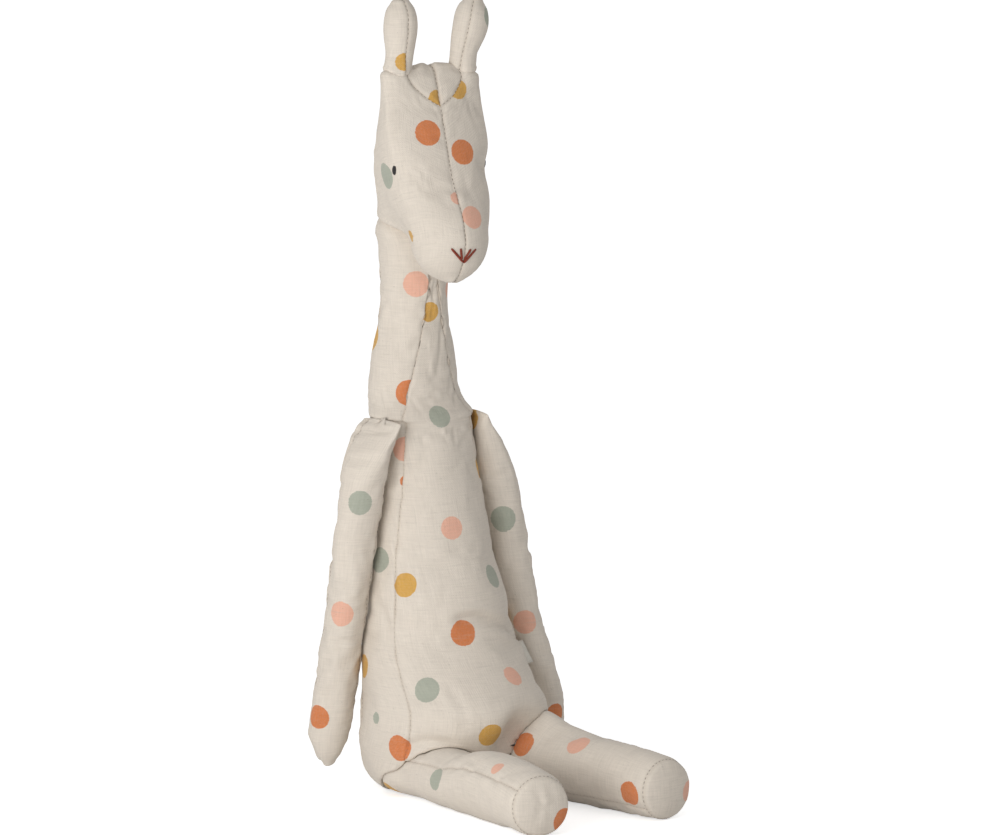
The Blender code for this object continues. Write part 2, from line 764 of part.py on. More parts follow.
def mouth(body, finish):
    """The stitched mouth: strands of thread that run together under the seam of the muzzle."""
    for name, ((place_in, angle_in), (place_out, angle_out)) in MOUTH_STITCH_SHARES.items():
        route = []
        out = []
        for share in np.linspace(0, 1, MOUTH_STEPS):
            place = place_in + (place_out - place_in) * share
            angle = angle_in + (angle_out - angle_in) * share
            lift = surface_normal(head_point, place, angle)
            route.append(head_point(place, angle) + lift * (THREAD_RADIUS + SEAT_GAP))
            out.append(lift)
        points, faces = strand(route, out)
        add_object(name, points, faces, finish, body["empty"], body["origin"])


def eye(name, side, body, finish):
    """One eye, a short upright knot of black thread on the cheek."""
    angle = side * EYE_ANGLE
    out = surface_normal(head_point, EYE_PLACE_SHARE, angle)
    below = head_point(EYE_PLACE_SHARE + PLACE_STEP_SHARE, angle)
    down = below - head_point(EYE_PLACE_SHARE - PLACE_STEP_SHARE, angle)
    along = unit(down - out * np.dot(down, out))
    centre = head_point(EYE_PLACE_SHARE, angle) + out * (EYE_RADIUS + SEAT_GAP)
    return bead(name, centre, along, out, body, finish)


def label(body, finish):
    """The bare folded tape, sewn into the seam of the front panel and the left side panel."""
    height = BODY_HEIGHT * LABEL_HEIGHT_SHARE
    column_height = BODY_HEIGHT + NECK_LENGTH
    corners = []
    for z in (height - LABEL_HEIGHT / 2, height + LABEL_HEIGHT / 2):
        angle = float(between(FRONT_SEAM_SHARES, z / column_height)[0])
        seat = body_point(z, angle)
        round_it = unit(body_point(z, angle + ANGLE_STEP) - body_point(z, angle - ANGLE_STEP))
        out = np.array((-round_it[1], round_it[0], 0.0))
        if np.dot(out, (1.0, 0.0, 0.0)) < 0:
            out = -out
        near = seat + out * SEAT_GAP * 2
        for reach, side in ((0, -1), (LABEL_REACH, -1), (LABEL_REACH, 1), (0, 1)):
            corners.append(near + out * reach + round_it * side * LABEL_THICKNESS / 2)
    faces = {
        0: (0, 1, 2, 3),
        1: (7, 6, 5, 4),
        2: (0, 4, 5, 1),
        3: (1, 5, 6, 2),
        4: (2, 6, 7, 3),
        5: (3, 7, 4, 0),
    }
    points = np.array(corners)
    faces = outward(points, faces)
    return add_object("label_tag", points, faces.values(), finish, body["empty"], body["origin"])


# Assembly

def material(name, colour, roughness):
    """A plain cloth or thread finish."""
    finish = bpy.data.materials.new(name)
    finish.use_nodes = True
    shader = finish.node_tree.nodes["Principled BSDF"]
    shader.inputs["Base Color"].default_value = (*colour, 1.0)
    shader.inputs["Roughness"].default_value = roughness
    shader.inputs["Metallic"].default_value = 0.0
    finish.diffuse_color = (*colour, 1.0)
    return finish


def new_body(name, origin, parent):
    """An empty on a body's joint, which carries all the pieces of that body."""
    empty = bpy.data.objects.new(name, None)
    bpy.context.scene.collection.objects.link(empty)
    empty.parent = parent["empty"] if parent else None
    start = Vector(parent["origin"]) if parent else Vector((0.0, 0.0, 0.0))
    empty.location = Vector(origin) - start
    return {
        "empty": empty,
        "origin": tuple(origin),
        "linen": materials["linen"],
        "wadding": materials["wadding"],
    }


def clear_scene():
    """Takes everything out of the start scene."""
    for thing in list(bpy.data.objects):
        bpy.data.objects.remove(thing, do_unlink=True)


def build_body():
    """The body and neck: stuffing in two parts, and eight panels round them."""
    body = new_body("giraffe", (0.0, 0.0, 0.0), None)
    rows, start, end, shoulder = body_grid()
    points, faces = grid_mesh(rows, start, end)
    faces = outward(points, faces)
    count, columns = rows.shape[:2]
    depth = CLOTH + WADDING_GAP
    inner = inset(points, faces, depth)
    inner_rows = inner[: count * columns].reshape(count, columns, 3)[:, ::STUFFING_COLUMNS_EACH]
    seam = inner_rows[shoulder]
    lift = np.array((0.0, 0.0, SEAM_GAP / 2))
    flat = seam.copy()
    flat[:, 2] = BODY_HEIGHT
    below = np.concatenate([inner_rows[:shoulder], [flat - lift]])
    above = np.concatenate([[flat + lift], inner_rows[shoulder + 1 :]])
    middle = flat.mean(axis=0)
    stuffings = {}
    for name, part_rows, first, last in (
        ("body_stuffing", below, inner[-2], middle - lift),
        ("neck_stuffing", above, middle + lift, inner[-1]),
    ):
        part_points, part_faces = grid_mesh(part_rows, first, last)
        part_faces = outward(part_points, part_faces)
        stuffings[name] = add_object(
            name, part_points, part_faces.values(), body["wadding"], body["empty"], body["origin"]
        )
    side_start = FRONT_COLUMNS
    back_start = FRONT_COLUMNS + SIDE_COLUMNS
    seat_rows = len(SEAT_RING_SHARES)
    cloth_end = count - 1 - (len(DOME_ANGLES) - DOME_CLOTH_ROWS)
    owners = {}
    for i, j in faces:
        if i >= cloth_end:
            continue
        left = j < columns // 2
        from_front = j if left else columns - 1 - j
        hand = "left" if left else "right"
        if i < seat_rows:
            name = "seat_panel"
        elif from_front < side_start:
            name = "front_panel"
        elif from_front >= back_start:
            name = f"back_panel_{hand}"
        elif i < shoulder:
            name = f"side_panel_{hand}"
        else:
            name = f"neck_panel_{hand}"
        owners.setdefault(name, []).append((i, j))
    panels = {name: panel(name, points, faces, cells, body) for name, cells in owners.items()}
    for side, hand in ((-1, "right"), (1, "left")):
        cutter = hip_cutter(f"hip_room_{hand}", side)
        for thing in (stuffings["body_stuffing"], panels["front_panel"], panels["seat_panel"]):
            cut(thing, cutter)
        cut(panels[f"side_panel_{hand}"], cutter)
    label(body, materials["tape"])
    return body


def build_head(parent):
    """The head: stuffing, two cheek panels, two crown panels, eyes and mouth, with a cup for the neck."""
    body = new_body("head", neck_pivot(), parent)
    rows, start, end = head_grid()
    points, faces = grid_mesh(rows, start, end)
    faces = outward(points, faces)
    wadding = stuffing("head_stuffing", rows, start, end, body, CLOTH + WADDING_GAP)
    owners = {}
    columns = rows.shape[1]
    back_start = round(HEAD_BACK_SEAM_ANGLE / 360.0 * columns)
    for i, j in faces:
        left = j < columns // 2
        from_front = j if left else columns - 1 - j
        hand = "left" if left else "right"
        crown = i < CROWN_ROWS - 1 or from_front >= back_start
        owners.setdefault(f"crown_panel_{hand}" if crown else f"cheek_panel_{hand}", []).append((i, j))
    pieces = [panel(name, points, faces, cells, body) for name, cells in owners.items()]
    pieces.append(wadding)
    neck_room = ball_cutter("neck_room", neck_pivot(), NECK_RADIUS + SEAT_GAP)
    for thing in pieces:
        cut(thing, neck_room)
    for side, hand, lean in ((-1, "right", EAR_RIGHT_LEAN), (1, "left", EAR_LEFT_LEAN)):
        pivot = ear_grid(side, lean)[3]
        ear_room = ball_cutter(f"ear_room_{hand}", pivot, EAR_BASE_RADIUS + SEAT_GAP)
        for thing in pieces:
            if "stuffing" in thing.name or hand in thing.name:
                cut(thing, ear_room)
        eye(f"eye_{hand}", side, body, materials["eye_thread"])
    mouth(body, materials["mouth_thread"])
    return body


def build_ear(hand, side, lean, parent):
    """One ear: a little stuffing between an outer and an inner panel, sewn front and back."""
    rows, start, end, pivot = ear_grid(side, lean)
    body = new_body(f"ear_{hand}", pivot, parent)
    points, faces = grid_mesh(rows, start, end)
    faces = outward(points, faces)
    stuffing(f"ear_{hand}_stuffing", rows, start, end, body, CLOTH + WADDING_GAP)
    columns = rows.shape[1]
    outer = []
    inner = []
    for i, j in faces:
        cells = outer if (j < columns // 2) == (side > 0) else inner
        cells.append((i, j))
    panel(f"ear_{hand}_outer_panel", points, faces, outer, body)
    panel(f"ear_{hand}_inner_panel", points, faces, inner, body)


def build_arm(hand, side, swing, parent):
    """One arm: stuffing between a front and a back panel."""
    body = new_body(f"arm_{hand}", shoulder_hinge(side), parent)
    rows, start, end = arm_grid(side, swing)
    points, faces = grid_mesh(rows, start, end)
    faces = outward(points, faces)
    lower_rows = rows[len(ARM_TOP_EDGE_SHARES) + 1 :]
    first = lower_rows[0].mean(axis=0)
    stuffing(f"arm_{hand}_stuffing", lower_rows, first, end, body, CLOTH + WADDING_GAP)
    columns = rows.shape[1]
    quarter = columns // 4
    front = []
    back = []
    for i, j in faces:
        cells = front if j < quarter or j >= columns - quarter else back
        cells.append((i, j))
    panel(f"arm_{hand}_front_panel", points, faces, front, body)
    panel(f"arm_{hand}_back_panel", points, faces, back, body)


def build_leg(hand, side, parent):
    """One leg: stuffing, an upper and an under panel, and a sole."""
    body = new_body(f"leg_{hand}", hip(side), parent)
    rows, start, end = leg_grid(side)
    points, faces = grid_mesh(rows, start, end)
    faces = outward(points, faces)
    stuffing(f"leg_{hand}_stuffing", rows, start, end, body, CLOTH + WADDING_GAP)
    count, columns = rows.shape[:2]
    quarter = columns // 4
    sole_start = count - 1 - len(SOLE_RING_SHARES)
    owners = {"upper_panel": [], "under_panel": [], "sole": []}
    for i, j in faces:
        if i >= sole_start:
            owners["sole"].append((i, j))
        elif j < quarter or j >= columns - quarter:
            owners["upper_panel"].append((i, j))
        else:
            owners["under_panel"].append((i, j))
    for name, cells in owners.items():
        panel(f"leg_{hand}_{name}", points, faces, cells, body)


clear_scene()
materials = {
    "linen": material("linen", LINEN, LINEN_ROUGHNESS),
    "wadding": material("wadding", WADDING, WADDING_ROUGHNESS),
    "eye_thread": material("eye_thread", EYE_THREAD, EYE_ROUGHNESS),
    "mouth_thread": material("mouth_thread", MOUTH_THREAD, MOUTH_ROUGHNESS),
    "tape": material("tape", TAPE, TAPE_ROUGHNESS),
}
giraffe = build_body()
head = build_head(giraffe)
build_ear("right", -1, EAR_RIGHT_LEAN, head)
build_ear("left", 1, EAR_LEFT_LEAN, head)
build_arm("right", -1, ARM_RIGHT_SWING, giraffe)
build_arm("left", 1, ARM_LEFT_SWING, giraffe)
build_leg("right", -1, giraffe)
build_leg("left", 1, giraffe)
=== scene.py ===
"""Looks of the sitting plush giraffe: printed linen over firm stuffing, with seams, stitches and a stage.

Metres, +Z up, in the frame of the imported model. Each form repeats its tables from the CAD source, sampled
finely. A cloth simulation swells the panels, the seams are drawn in, puckered and stitched, and the printed
dots are placed by where the photograph shows them.
"""

from math import cos, pi, radians, sin

import bpy
import numpy as np
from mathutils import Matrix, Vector, noise
from mathutils.bvhtree import BVHTree
from mathutils.kdtree import KDTree


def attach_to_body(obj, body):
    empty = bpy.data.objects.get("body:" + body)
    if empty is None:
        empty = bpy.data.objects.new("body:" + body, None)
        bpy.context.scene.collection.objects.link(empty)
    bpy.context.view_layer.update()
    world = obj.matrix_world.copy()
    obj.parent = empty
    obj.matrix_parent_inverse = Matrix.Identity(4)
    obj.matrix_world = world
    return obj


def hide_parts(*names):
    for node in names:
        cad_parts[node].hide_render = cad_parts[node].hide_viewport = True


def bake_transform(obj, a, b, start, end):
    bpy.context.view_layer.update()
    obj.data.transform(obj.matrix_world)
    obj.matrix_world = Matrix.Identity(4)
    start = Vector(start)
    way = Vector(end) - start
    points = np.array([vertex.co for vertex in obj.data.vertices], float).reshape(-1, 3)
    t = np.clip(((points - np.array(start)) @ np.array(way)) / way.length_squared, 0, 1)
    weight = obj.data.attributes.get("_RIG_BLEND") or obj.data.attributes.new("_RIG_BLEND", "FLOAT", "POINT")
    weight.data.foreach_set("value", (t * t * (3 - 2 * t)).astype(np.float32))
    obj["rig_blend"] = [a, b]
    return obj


bl_info = {
    "name": "Plush giraffe",
    "version": (1, 0, 0),
    "blender": (4, 5, 0),
    "location": "3D View > Sidebar > Giraffe",
    "description": "Dresses the packed plush giraffe in printed linen and lights it",
    "category": "Object",
}

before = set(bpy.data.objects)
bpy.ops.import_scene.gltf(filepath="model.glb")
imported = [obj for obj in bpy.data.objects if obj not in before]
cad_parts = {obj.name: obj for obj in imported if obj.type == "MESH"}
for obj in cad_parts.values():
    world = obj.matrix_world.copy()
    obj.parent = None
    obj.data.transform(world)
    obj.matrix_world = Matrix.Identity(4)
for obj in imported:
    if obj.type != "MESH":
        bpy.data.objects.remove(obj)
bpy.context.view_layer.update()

# Sizes that repeat the CAD source
BODY_HEIGHT = 0.237
BODY_HALF_WIDTH = 0.0575
BELLY_REACH = 0.104
BACK_REACH = 0.027
NECK_LENGTH = 0.115
NECK_RADIUS = 0.022
NECK_AXIS_Y = 0.0055
HEAD_LENGTH = 0.1395
HEAD_HALF_WIDTH = 0.035
HEAD_FRONT = 0.0235
HEAD_BACK = 0.062
HEAD_RISE = 0.112
HEAD_LEAD = 0.024
HEAD_TILT = radians(14.7)
HEAD_TURN = radians(10.0)
EAR_LENGTH = 0.0515
EAR_RADIUS = 0.0105
EAR_BASE_RADIUS = 0.0075
EAR_SPREAD = 0.0215
EAR_LEAD = 0.024
EAR_RISE = 0.1115
ARM_DROP = 0.221
ARM_RADIUS = 0.014
ARM_TOP_HALF = 0.0015
SHOULDER_Y = -0.012
ARM_SLACK = 0.0012
ARM_SLACK_SHARE = 0.12
SEAT_GAP = 0.0003
LEG_LENGTH = 0.182
LEG_HALF_WIDTH = 0.0235
LEG_HALF_HEIGHT = 0.0215
HIP_RADIUS = 0.0165
HIP_SPREAD = 0.0275
HIP_Y = -0.040
HIP_BACK_Y = HIP_Y + HIP_RADIUS + 0.0007
SOLE_BULGE = 0.006
LABEL_HEIGHT = 0.016
LABEL_REACH = 0.008
LABEL_THICKNESS = 0.0009
LABEL_HEIGHT_SHARE = 0.352
NECK_PIVOT = np.array((0.0, NECK_AXIS_Y, BODY_HEIGHT + NECK_LENGTH))

# Rows up the body, up the neck, down the head, up an ear, down an arm and along a leg, as shares
BODY_ROW_SHARES = (
    (0, 0.7, 0.66, 0.44), (0.021, 0.83, 0.71, 0.7), (0.059, 0.93, 0.775, 0.87), (0.127, 0.99, 0.88, 0.95),
    (0.198, 1, 0.975, 0.97), (0.249, 0.98, 0.97, 0.98), (0.3, 0.94, 0.86, 0.98), (0.371, 0.89, 0.715, 0.98),
    (0.443, 0.838, 0.63, 0.98), (0.505, 0.805, 0.615, 0.975), (0.561, 0.774, 0.58, 0.97),
    (0.646, 0.722, 0.5, 0.965), (0.776, 0.643, 0.423, 0.96), (0.878, 0.609, 0.355, 0.965),
    (1, 0.597, 0.275, 0.985),
)
NECK_ROW_SHARES = (
    (0.13, 1.43, 1.11, 1.09), (0.252, 1.34, 1.045, 1.11), (0.383, 1.23, 1.02, 1.09), (0.53, 1.07, 1, 1.02),
    (0.643, 1, 1, 1), (0.85, 1, 1, 1), (1, 1, 1, 1),
)
FRONT_SEAM_SHARES = (
    (0, 60), (0.12, 66), (0.3, 70), (0.44, 68), (0.57, 58),
    (0.68, 45), (0.76, 30), (0.85, 18), (0.92, 9), (1, 9),
)
BACK_SEAM_ANGLE = 124.0
HEAD_ROW_SHARES = (
    (0.022, 0.54, 0.24, 0.23), (0.057, 0.79, 0.3, 0.38), (0.115, 0.92, 0.35, 0.53), (0.2, 0.98, 0.385, 0.68),
    (0.3, 1, 0.45, 0.84), (0.4, 0.975, 0.51, 0.97), (0.5, 0.91, 0.56, 1.04), (0.58, 0.865, 0.67, 1.11),
    (0.625, 0.845, 0.77, 1.1), (0.66, 0.825, 0.85, 0.93), (0.72, 0.78, 0.96, 0.62), (0.775, 0.729, 0.995, 0.44),
    (0.845, 0.686, 0.98, 0.39), (0.91, 0.586, 0.77, 0.32), (0.96, 0.4, 0.47, 0.21), (0.99, 0.171, 0.19, 0.09),
)
CROWN_REACH_SHARES = ((0, 0.2), (15, 0.16), (30, 0.104), (48, 0.042), (65, 0.032), (110, 0.042), (180, 0.115))
HEAD_BACK_SEAM_ANGLE = 128.0
EAR_ROW_SHARES = (
    (0, 0.714, 0.714), (0.2, 0.83, 0.8), (0.45, 0.98, 0.96),
    (0.68, 1, 1), (0.84, 0.86, 0.86), (0.945, 0.56, 0.56),
)
ARM_ROW_SHARES = (
    (0, 0, 0.107, 1.28), (0.04, 0, 0.4, 1.26), (0.09, 0.02, 0.7, 1.2), (0.17, 0.08, 0.92, 1.11),
    (0.29, 0.16, 0.98, 1.04), (0.43, 0.25, 0.95, 1), (0.57, 0.4, 0.93, 0.98), (0.71, 0.62, 0.94, 0.99),
    (0.83, 0.82, 0.95, 0.99), (0.91, 0.92, 0.86, 0.88), (0.96, 0.97, 0.62, 0.64), (0.99, 0.995, 0.31, 0.33),
)
LEG_ROW_SHARES = (
    (0.09, 0.95, 0.767, 0.767), (0.18, 0.96, 0.76, 0.76), (0.3, 1, 0.76, 0.76), (0.44, 1, 0.765, 0.765),
    (0.53, 0.99, 0.885, 0.885), (0.62, 0.965, 0.975, 0.975), (0.72, 0.925, 1, 1), (0.82, 0.91, 0.985, 0.985),
    (0.9, 0.89, 0.96, 0.96), (0.96, 0.87, 0.935, 0.935), (0.99, 0.84, 0.905, 0.905),
)
LEG_TOP_SHARES = ((-90, 0.3), (-72, 0.55), (-45, 0.82), (-15, 0.93), (0, 0.95))
SOLE_RING_SHARES = (0.93, 0.84, 0.73, 0.60, 0.46, 0.32, 0.18)

# Each pair from its right to its left: hand, side, and what differs between the two
EARS = (("right", -1, radians(2.0), 0.0), ("left", 1, radians(13.0), -28.0))
ARMS = (("right", -1, 0.029, -43.0), ("left", 1, -0.028, -33.0))
LEGS = (
    ("right", -1, radians(8.8), (0.0045, 0.40, 0.17, 0.10)),
    ("left", 1, radians(6.0), (0.0215, 0.33, 0.20, 0.30)),
)
LEG_SEAM_ROLL = 35.0
EAR_GAP = (60.0, 112.0)
CROTCH_HEIGHT = 0.026

# Where each blend across a joint begins and ends
NOD_BLEND = ((0.0, 0.016, 0.343), (0.0, -0.004, 0.369))
EAR_BLEND = 0.008
SHOULDER_BLEND = 0.022

# The camera: direction, distance, metres for a pixel at the giraffe, and the point that it looks at
VIEW_AZIMUTH = radians(-36.2)
VIEW_ELEVATION = radians(8.6)
VIEW_DISTANCE = 6.0
VIEW_SCALE = 0.0006365
VIEW_CENTRE = (0.0, -0.040, 0.240)
VIEW_SHIFT = 0.0281
PHOTO_WIDTH = 1000
PHOTO_HEIGHT = 835
SENSOR_WIDTH = 36.0
VIEW_BACK = np.array(
    (sin(VIEW_AZIMUTH) * cos(VIEW_ELEVATION), -cos(VIEW_AZIMUTH) * cos(VIEW_ELEVATION), sin(VIEW_ELEVATION))
)
VIEW_RIGHT = np.array((cos(VIEW_AZIMUTH), sin(VIEW_AZIMUTH), 0.0))
VIEW_UP = np.cross(VIEW_BACK, VIEW_RIGHT)
VIEW_TARGET = np.array(VIEW_CENTRE) + VIEW_RIGHT * VIEW_SHIFT

# Colours, linear, and the rays of the light path that see the background as white
LINEN = (0.672, 0.604, 0.522)
# LINEN_SHADE is painted shade: the colour that the linen is darkened towards beside its seams
LINEN_SHADE = (0.480, 0.405, 0.330)
INKS = {
    "orange": (0.600, 0.195, 0.069),
    "mustard": (0.595, 0.335, 0.078),
    "sage": (0.372, 0.388, 0.318),
    "pink": (0.740, 0.415, 0.305),
}
SEWING_THREAD = (0.780, 0.735, 0.660)
# SEAM_SHADOW is painted shadow: the colour of the dark threads laid in the seams between stitches
SEAM_SHADOW = (0.115, 0.085, 0.062)
EYE_THREAD = (0.012, 0.010, 0.010)
MOUTH_THREAD = (0.222, 0.027, 0.007)
TAPE = (0.760, 0.720, 0.640)
FLOOR = (0.86, 0.86, 0.86)
FLOOR_GLOW = 0.60
WHITE_RAYS = ("Is Camera Ray", "Is Glossy Ray", "Is Transmission Ray")

# Printed dots: photo column and row, ink, radius as a share of the usual one, and the panel if one cuts it
DOT_PIXELS = {
    "head": (
        (437, 99, "mustard", 0.72, "crown_right"), (457, 89, "mustard", 0.8, "cheek_left"),
        (428, 133, "orange", 1.04), (463, 152, "orange", 1), (386, 176, "sage", 1),
        (457, 198, "pink", 0.55, "cheek_right"), (473, 217, "pink", 0.92), (411, 236, "mustard", 0.45),
    ),
    "torso": (
        (416, 284, "pink", 1), (448, 289, "pink", 0.7), (430, 312, "mustard", 0.8, "front"),
        (368, 336, "mustard", 1), (409, 393, "orange", 1, "neck_right"), (440, 416, "sage", 0.95),
        (405, 449, "pink", 0.95, "side_right"), (405, 481, "orange", 0.4, "side_right"),
        (481, 468, "mustard", 0.8), (452, 528, "pink", 0.9), (380, 560, "sage", 0.95),
        (405, 585, "mustard", 0.98), (493, 576, "sage", 0.95), (463, 633, "orange", 1),
        (364, 666, "mustard", 0.95), (427, 690, "sage", 1), (513, 676, "pink", 0.85),
        (376, 718, "sage", 0.5), (491, 736, "mustard", 0.98), (399, 748, "orange", 1),
    ),
    "arm_right": ((360, 503, "sage", 0.95), (341, 614, "pink", 0.95), (318, 717, "orange", 0.98)),
    "arm_left": (
        (473, 419, "mustard", 0.8), (503, 519, "sage", 0.98),
        (525, 622, "pink", 0.95), (556, 713, "orange", 0.75),
    ),
    "leg_right": (
        (392, 790, "mustard", 0.9), (436, 779, "sage", 0.85), (497, 768, "pink", 0.6, "upper"),
        (563, 820, "orange", 0.95, "sole"),
    ),
    "leg_left": (
        (523, 744, "orange", 1), (578, 744, "pink", 0.95),
        (629, 794, "orange", 1), (689, 791, "pink", 0.8, "sole"),
    ),
    "ear_right": ((404, 62, "mustard", 0.68, "right"),),
    "ear_left": ((491, 16, "sage", 0.85),),
}
DOT_SPACING = 0.040
DOT_SEED = 11
DOT_CLEARANCE = 0.0095
HIDDEN_DOT_SHARE = 0.97

# Folds of the cloth: photo columns and rows along each, depth, width, and how far it runs on, in metres
FOLD_PIXELS = {
    "torso": (
        (((458, 619), (470, 618), (482, 618), (494, 622)), 0.0030, 0.0030, 0.045),
        (((405, 748), (425, 742), (450, 745)), 0.0016, 0.0035, 0),
        (((376, 600), (384, 612), (391, 640)), 0.0010, 0.0026, 0),
        (((450, 690), (462, 706), (466, 728)), 0.0010, 0.0026, 0),
    ),
    "arm_right": (
        (((330, 642), (345, 641), (359, 641)), 0.0011, 0.0018, 0),
        (((352, 431), (372, 432), (392, 431)), 0.0009, 0.0020, 0),
        (((346, 459), (362, 461), (380, 459)), 0.0009, 0.0022, 0),
    ),
    "arm_left": (
        (((508, 470), (500, 476), (490, 478)), 0.0010, 0.0022, 0),
        (((549, 668), (541, 676), (533, 680)), 0.0010, 0.0022, 0),
    ),
    "leg_right": (
        (((536, 790), (541, 802), (538, 820)), 0.0005, 0.0024, 0),
        (((550, 786), (554, 800), (548, 815)), 0.0004, 0.0022, 0),
    ),
}
# Pulls of the outline: photo column and row, pull in pixels across and down, and reach in metres
NUDGES = {
    "head": (
        (377, 182, -5, 0, 0.014), (377, 160, -2, 0, 0.010), (486, 166, -6, 0, 0.010), (486, 110, -3, 0, 0.014),
        (390, 82, -5.5, -5, 0.011), (421, 66, 0, -1, 0.007), (444, 66, 0, -1, 0.007), (431, 68, 1, 5, 0.0045),
        (413, 66, 0, 4, 0.004),
    ),
    "torso": (
        (511, 618, -6, 0, 0.009), (499, 562, -4, 0, 0.020), (381, 246, -1.5, 0, 0.012),
        (530, 728, -15, -3, 0.017), (516, 742, -9, -2, 0.013), (366, 770, 4, -2, 0.012),
    ),
    "leg_right": ((396, 784, -8, 1, 0.013),),
    "ear_right": ((400, 14, 4, 0, 0.026),),
    "ear_left": ((486, 30, 3, 0, 0.014),),
    "arm_right": (
        (360, 432, -7, 0, 0.014), (347, 462, -4, 0, 0.016), (316, 735, -4, 3, 0.012), (326, 756, 0, 6, 0.010),
    ),
    "arm_left": ((506, 452, -5, 0, 0.020), (492, 424, -4, 0, 0.012)),
}
# The mouth's strands, with the CAD node that each stands for, and the right eye, by photo column and row
MOUTH_PIXELS = {
    "mouth_strand_right": ((451.5, 248.5), (463.0, 262.0), "mouth_stitch_right"),
    "mouth_strand_middle": ((460.6, 248.5), (461.8, 259.0), "mouth_stitch_middle"),
    "mouth_strand_left": ((475.5, 249.0), (464.0, 262.5), "mouth_stitch_left"),
    "mouth_strand_second": ((470.5, 249.0), (463.6, 261.0), None),
}
EYE_PIXELS = ((394.6, 166.0), (394.4, 174.6))
FACE_STEPS = 9

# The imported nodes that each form's linen stands for
SINGLE_NODES = {
    "torso": ("front_panel", "seat_panel", "body_stuffing", "neck_stuffing"),
    "head": ("head_stuffing",),
}
PAIRED_NODES = {"torso": ("side", "neck", "back"), "head": ("cheek", "crown")}
LIMB_NODES = {
    "ear": ("stuffing", "outer_panel", "inner_panel"),
    "arm": ("stuffing", "front_panel", "back_panel"),
    "leg": ("stuffing", "upper_panel", "under_panel", "sole"),
}

# The cloth simulation: every how many rows and columns it takes, and the share of its swelling that is kept
SWELL_STEP = 3
SWELL_SHARE = 0.8
CLOTH = {
    "quality": 4,
    "mass": 0.1,
    "tension_stiffness": 12.0,
    "compression_stiffness": 12.0,
    "shear_stiffness": 4.0,
    "bending_stiffness": 0.05,
    "use_pressure": True,
    "vertex_group_mass": "pin",
}

# How the cloth lies, in metres: a crease's least and greatest length and width, the reach of puckers and of the
# painted shade beside a seam, the steps along a seam and a fold, and how deep in other cloth a corner is still
# rounded
CREASE_LENGTHS = (0.006, 0.020)
CREASE_WIDTHS = (0.0016, 0.0036)
PUCKER_REACH = 0.0075
SEAM_SHADE_REACH = 0.0008
SEAM_STEP = 0.0007
FOLD_STEP = 0.001
ROUNDED_DEPTH = 0.006

# How many rows close the top of the neck
NECK_CAP_ROWS = 8

# Threads, in metres: their radii, with that of the dark threads of painted shadow between stitches, half the
# length of a stitch, and how the face's strands lie on the cloth
STITCH_RADIUS = 0.00015
STITCH_HALF_LENGTH = 0.00062
NEEDLE_SHADOW_RADIUS = 0.00019
MOUTH_RADIUS = 0.00078
MOUTH_RISE = 0.0004
EYE_RADIUS = 0.00048
EYE_RISE = 0.0003
EYE_OFFSETS = (-0.0010, -0.00035, 0.00035, 0.0010)

# Each light: metres towards the camera from the giraffe, to the right in the picture and up, and its width
LAMPS = {"key": (1.12, -0.66, 0.16, 0.9), "fill": (0.7, 1.1, 0.25, 1.0)}

forms = {}
materials = {}


# Small tools for points

def unit(vectors):
    """Vectors at length one."""
    vectors = np.asarray(vectors, dtype=float)
    return vectors / np.maximum(np.linalg.norm(vectors, axis=-1, keepdims=True), 1e-12)


def between(table, places):
    """The table's values at places along its first column, eased from row to row into a curve."""
    table = np.asarray(table, dtype=float)
    at, values = table[:, 0], table[:, 1:]
    places = np.clip(np.asarray(places, dtype=float), at[0], at[-1])
    k = np.clip(np.searchsorted(at, places, side="right") - 1, 0, len(at) - 2)
    before = np.maximum(k - 1, 0)
    after = np.minimum(k + 2, len(at) - 1)
    span = (at[k + 1] - at[k])[..., None]
    share = (places - at[k])[..., None] / span
    slope_in = (values[k + 1] - values[before]) / (at[k + 1] - at[before])[..., None] * span
    slope_out = (values[after] - values[k]) / (at[after] - at[k])[..., None] * span
    cube, square = share**3, share**2
    return (
        (2 * cube - 3 * square + 1) * values[k]
        + (cube - 2 * square + share) * slope_in
        + (3 * square - 2 * cube) * values[k + 1]
        + (cube - square) * slope_out
    )


def spread(count, ends="both", pull=0.8):
    """Shares from 0 up to 1, count of them without the last, closer together at one end or both."""
    even = np.arange(count) / count
    close = {
        "both": (1 - np.cos(pi * even)) / 2,
        "first": 1 - np.cos(pi / 2 * even),
        "last": np.sin(pi / 2 * even),
    }
    return pull * close[ends] + (1 - pull) * even


def smooth(low, high, value):
    """A step from 0 to 1 between two values, with soft ends."""
    share = np.clip((np.asarray(value, dtype=float) - low) / (high - low), 0, 1)
    return share * share * (3 - 2 * share)


def all_round(left):
    """Angles of the left half, in degrees, and their mirrored ones."""
    return np.concatenate([left, np.full((*left.shape[:-1], 1), 180.0), 360.0 - left[..., :0:-1]], axis=-1)


def cap(ring, pole, count):
    """Rings that close a form roundly, from its pole out to the given ring."""
    middle = ring.mean(axis=0)
    turns = pi / 2 * (np.arange(count) + 0.6) / (count + 0.2)
    return [middle + (ring - middle) * sin(turn) + (np.asarray(pole) - middle) * cos(turn) for turn in turns]


def measured(route):
    """How far along a route each of its points lies."""
    return np.concatenate([[0.0], np.cumsum(np.linalg.norm(np.diff(route, axis=0), axis=1))])


def sample(at, places, table):
    """Values of the table's three columns at a place."""
    return np.array([np.interp(at, places, table[:, axis]) for axis in range(3)])


def spot_tree(spots):
    """A search tree of points."""
    tree = KDTree(len(spots))
    for k, spot in enumerate(spots):
        tree.insert(spot, k)
    tree.balance()
    return tree


def pixel_ray(column, row):
    """Start and direction of the camera's ray through a pixel of the photograph."""
    start = VIEW_TARGET + VIEW_BACK * VIEW_DISTANCE
    across = (column - PHOTO_WIDTH / 2) * VIEW_SCALE
    rise = (PHOTO_HEIGHT / 2 - row) * VIEW_SCALE
    return start, unit(VIEW_TARGET + VIEW_RIGHT * across + VIEW_UP * rise - start)


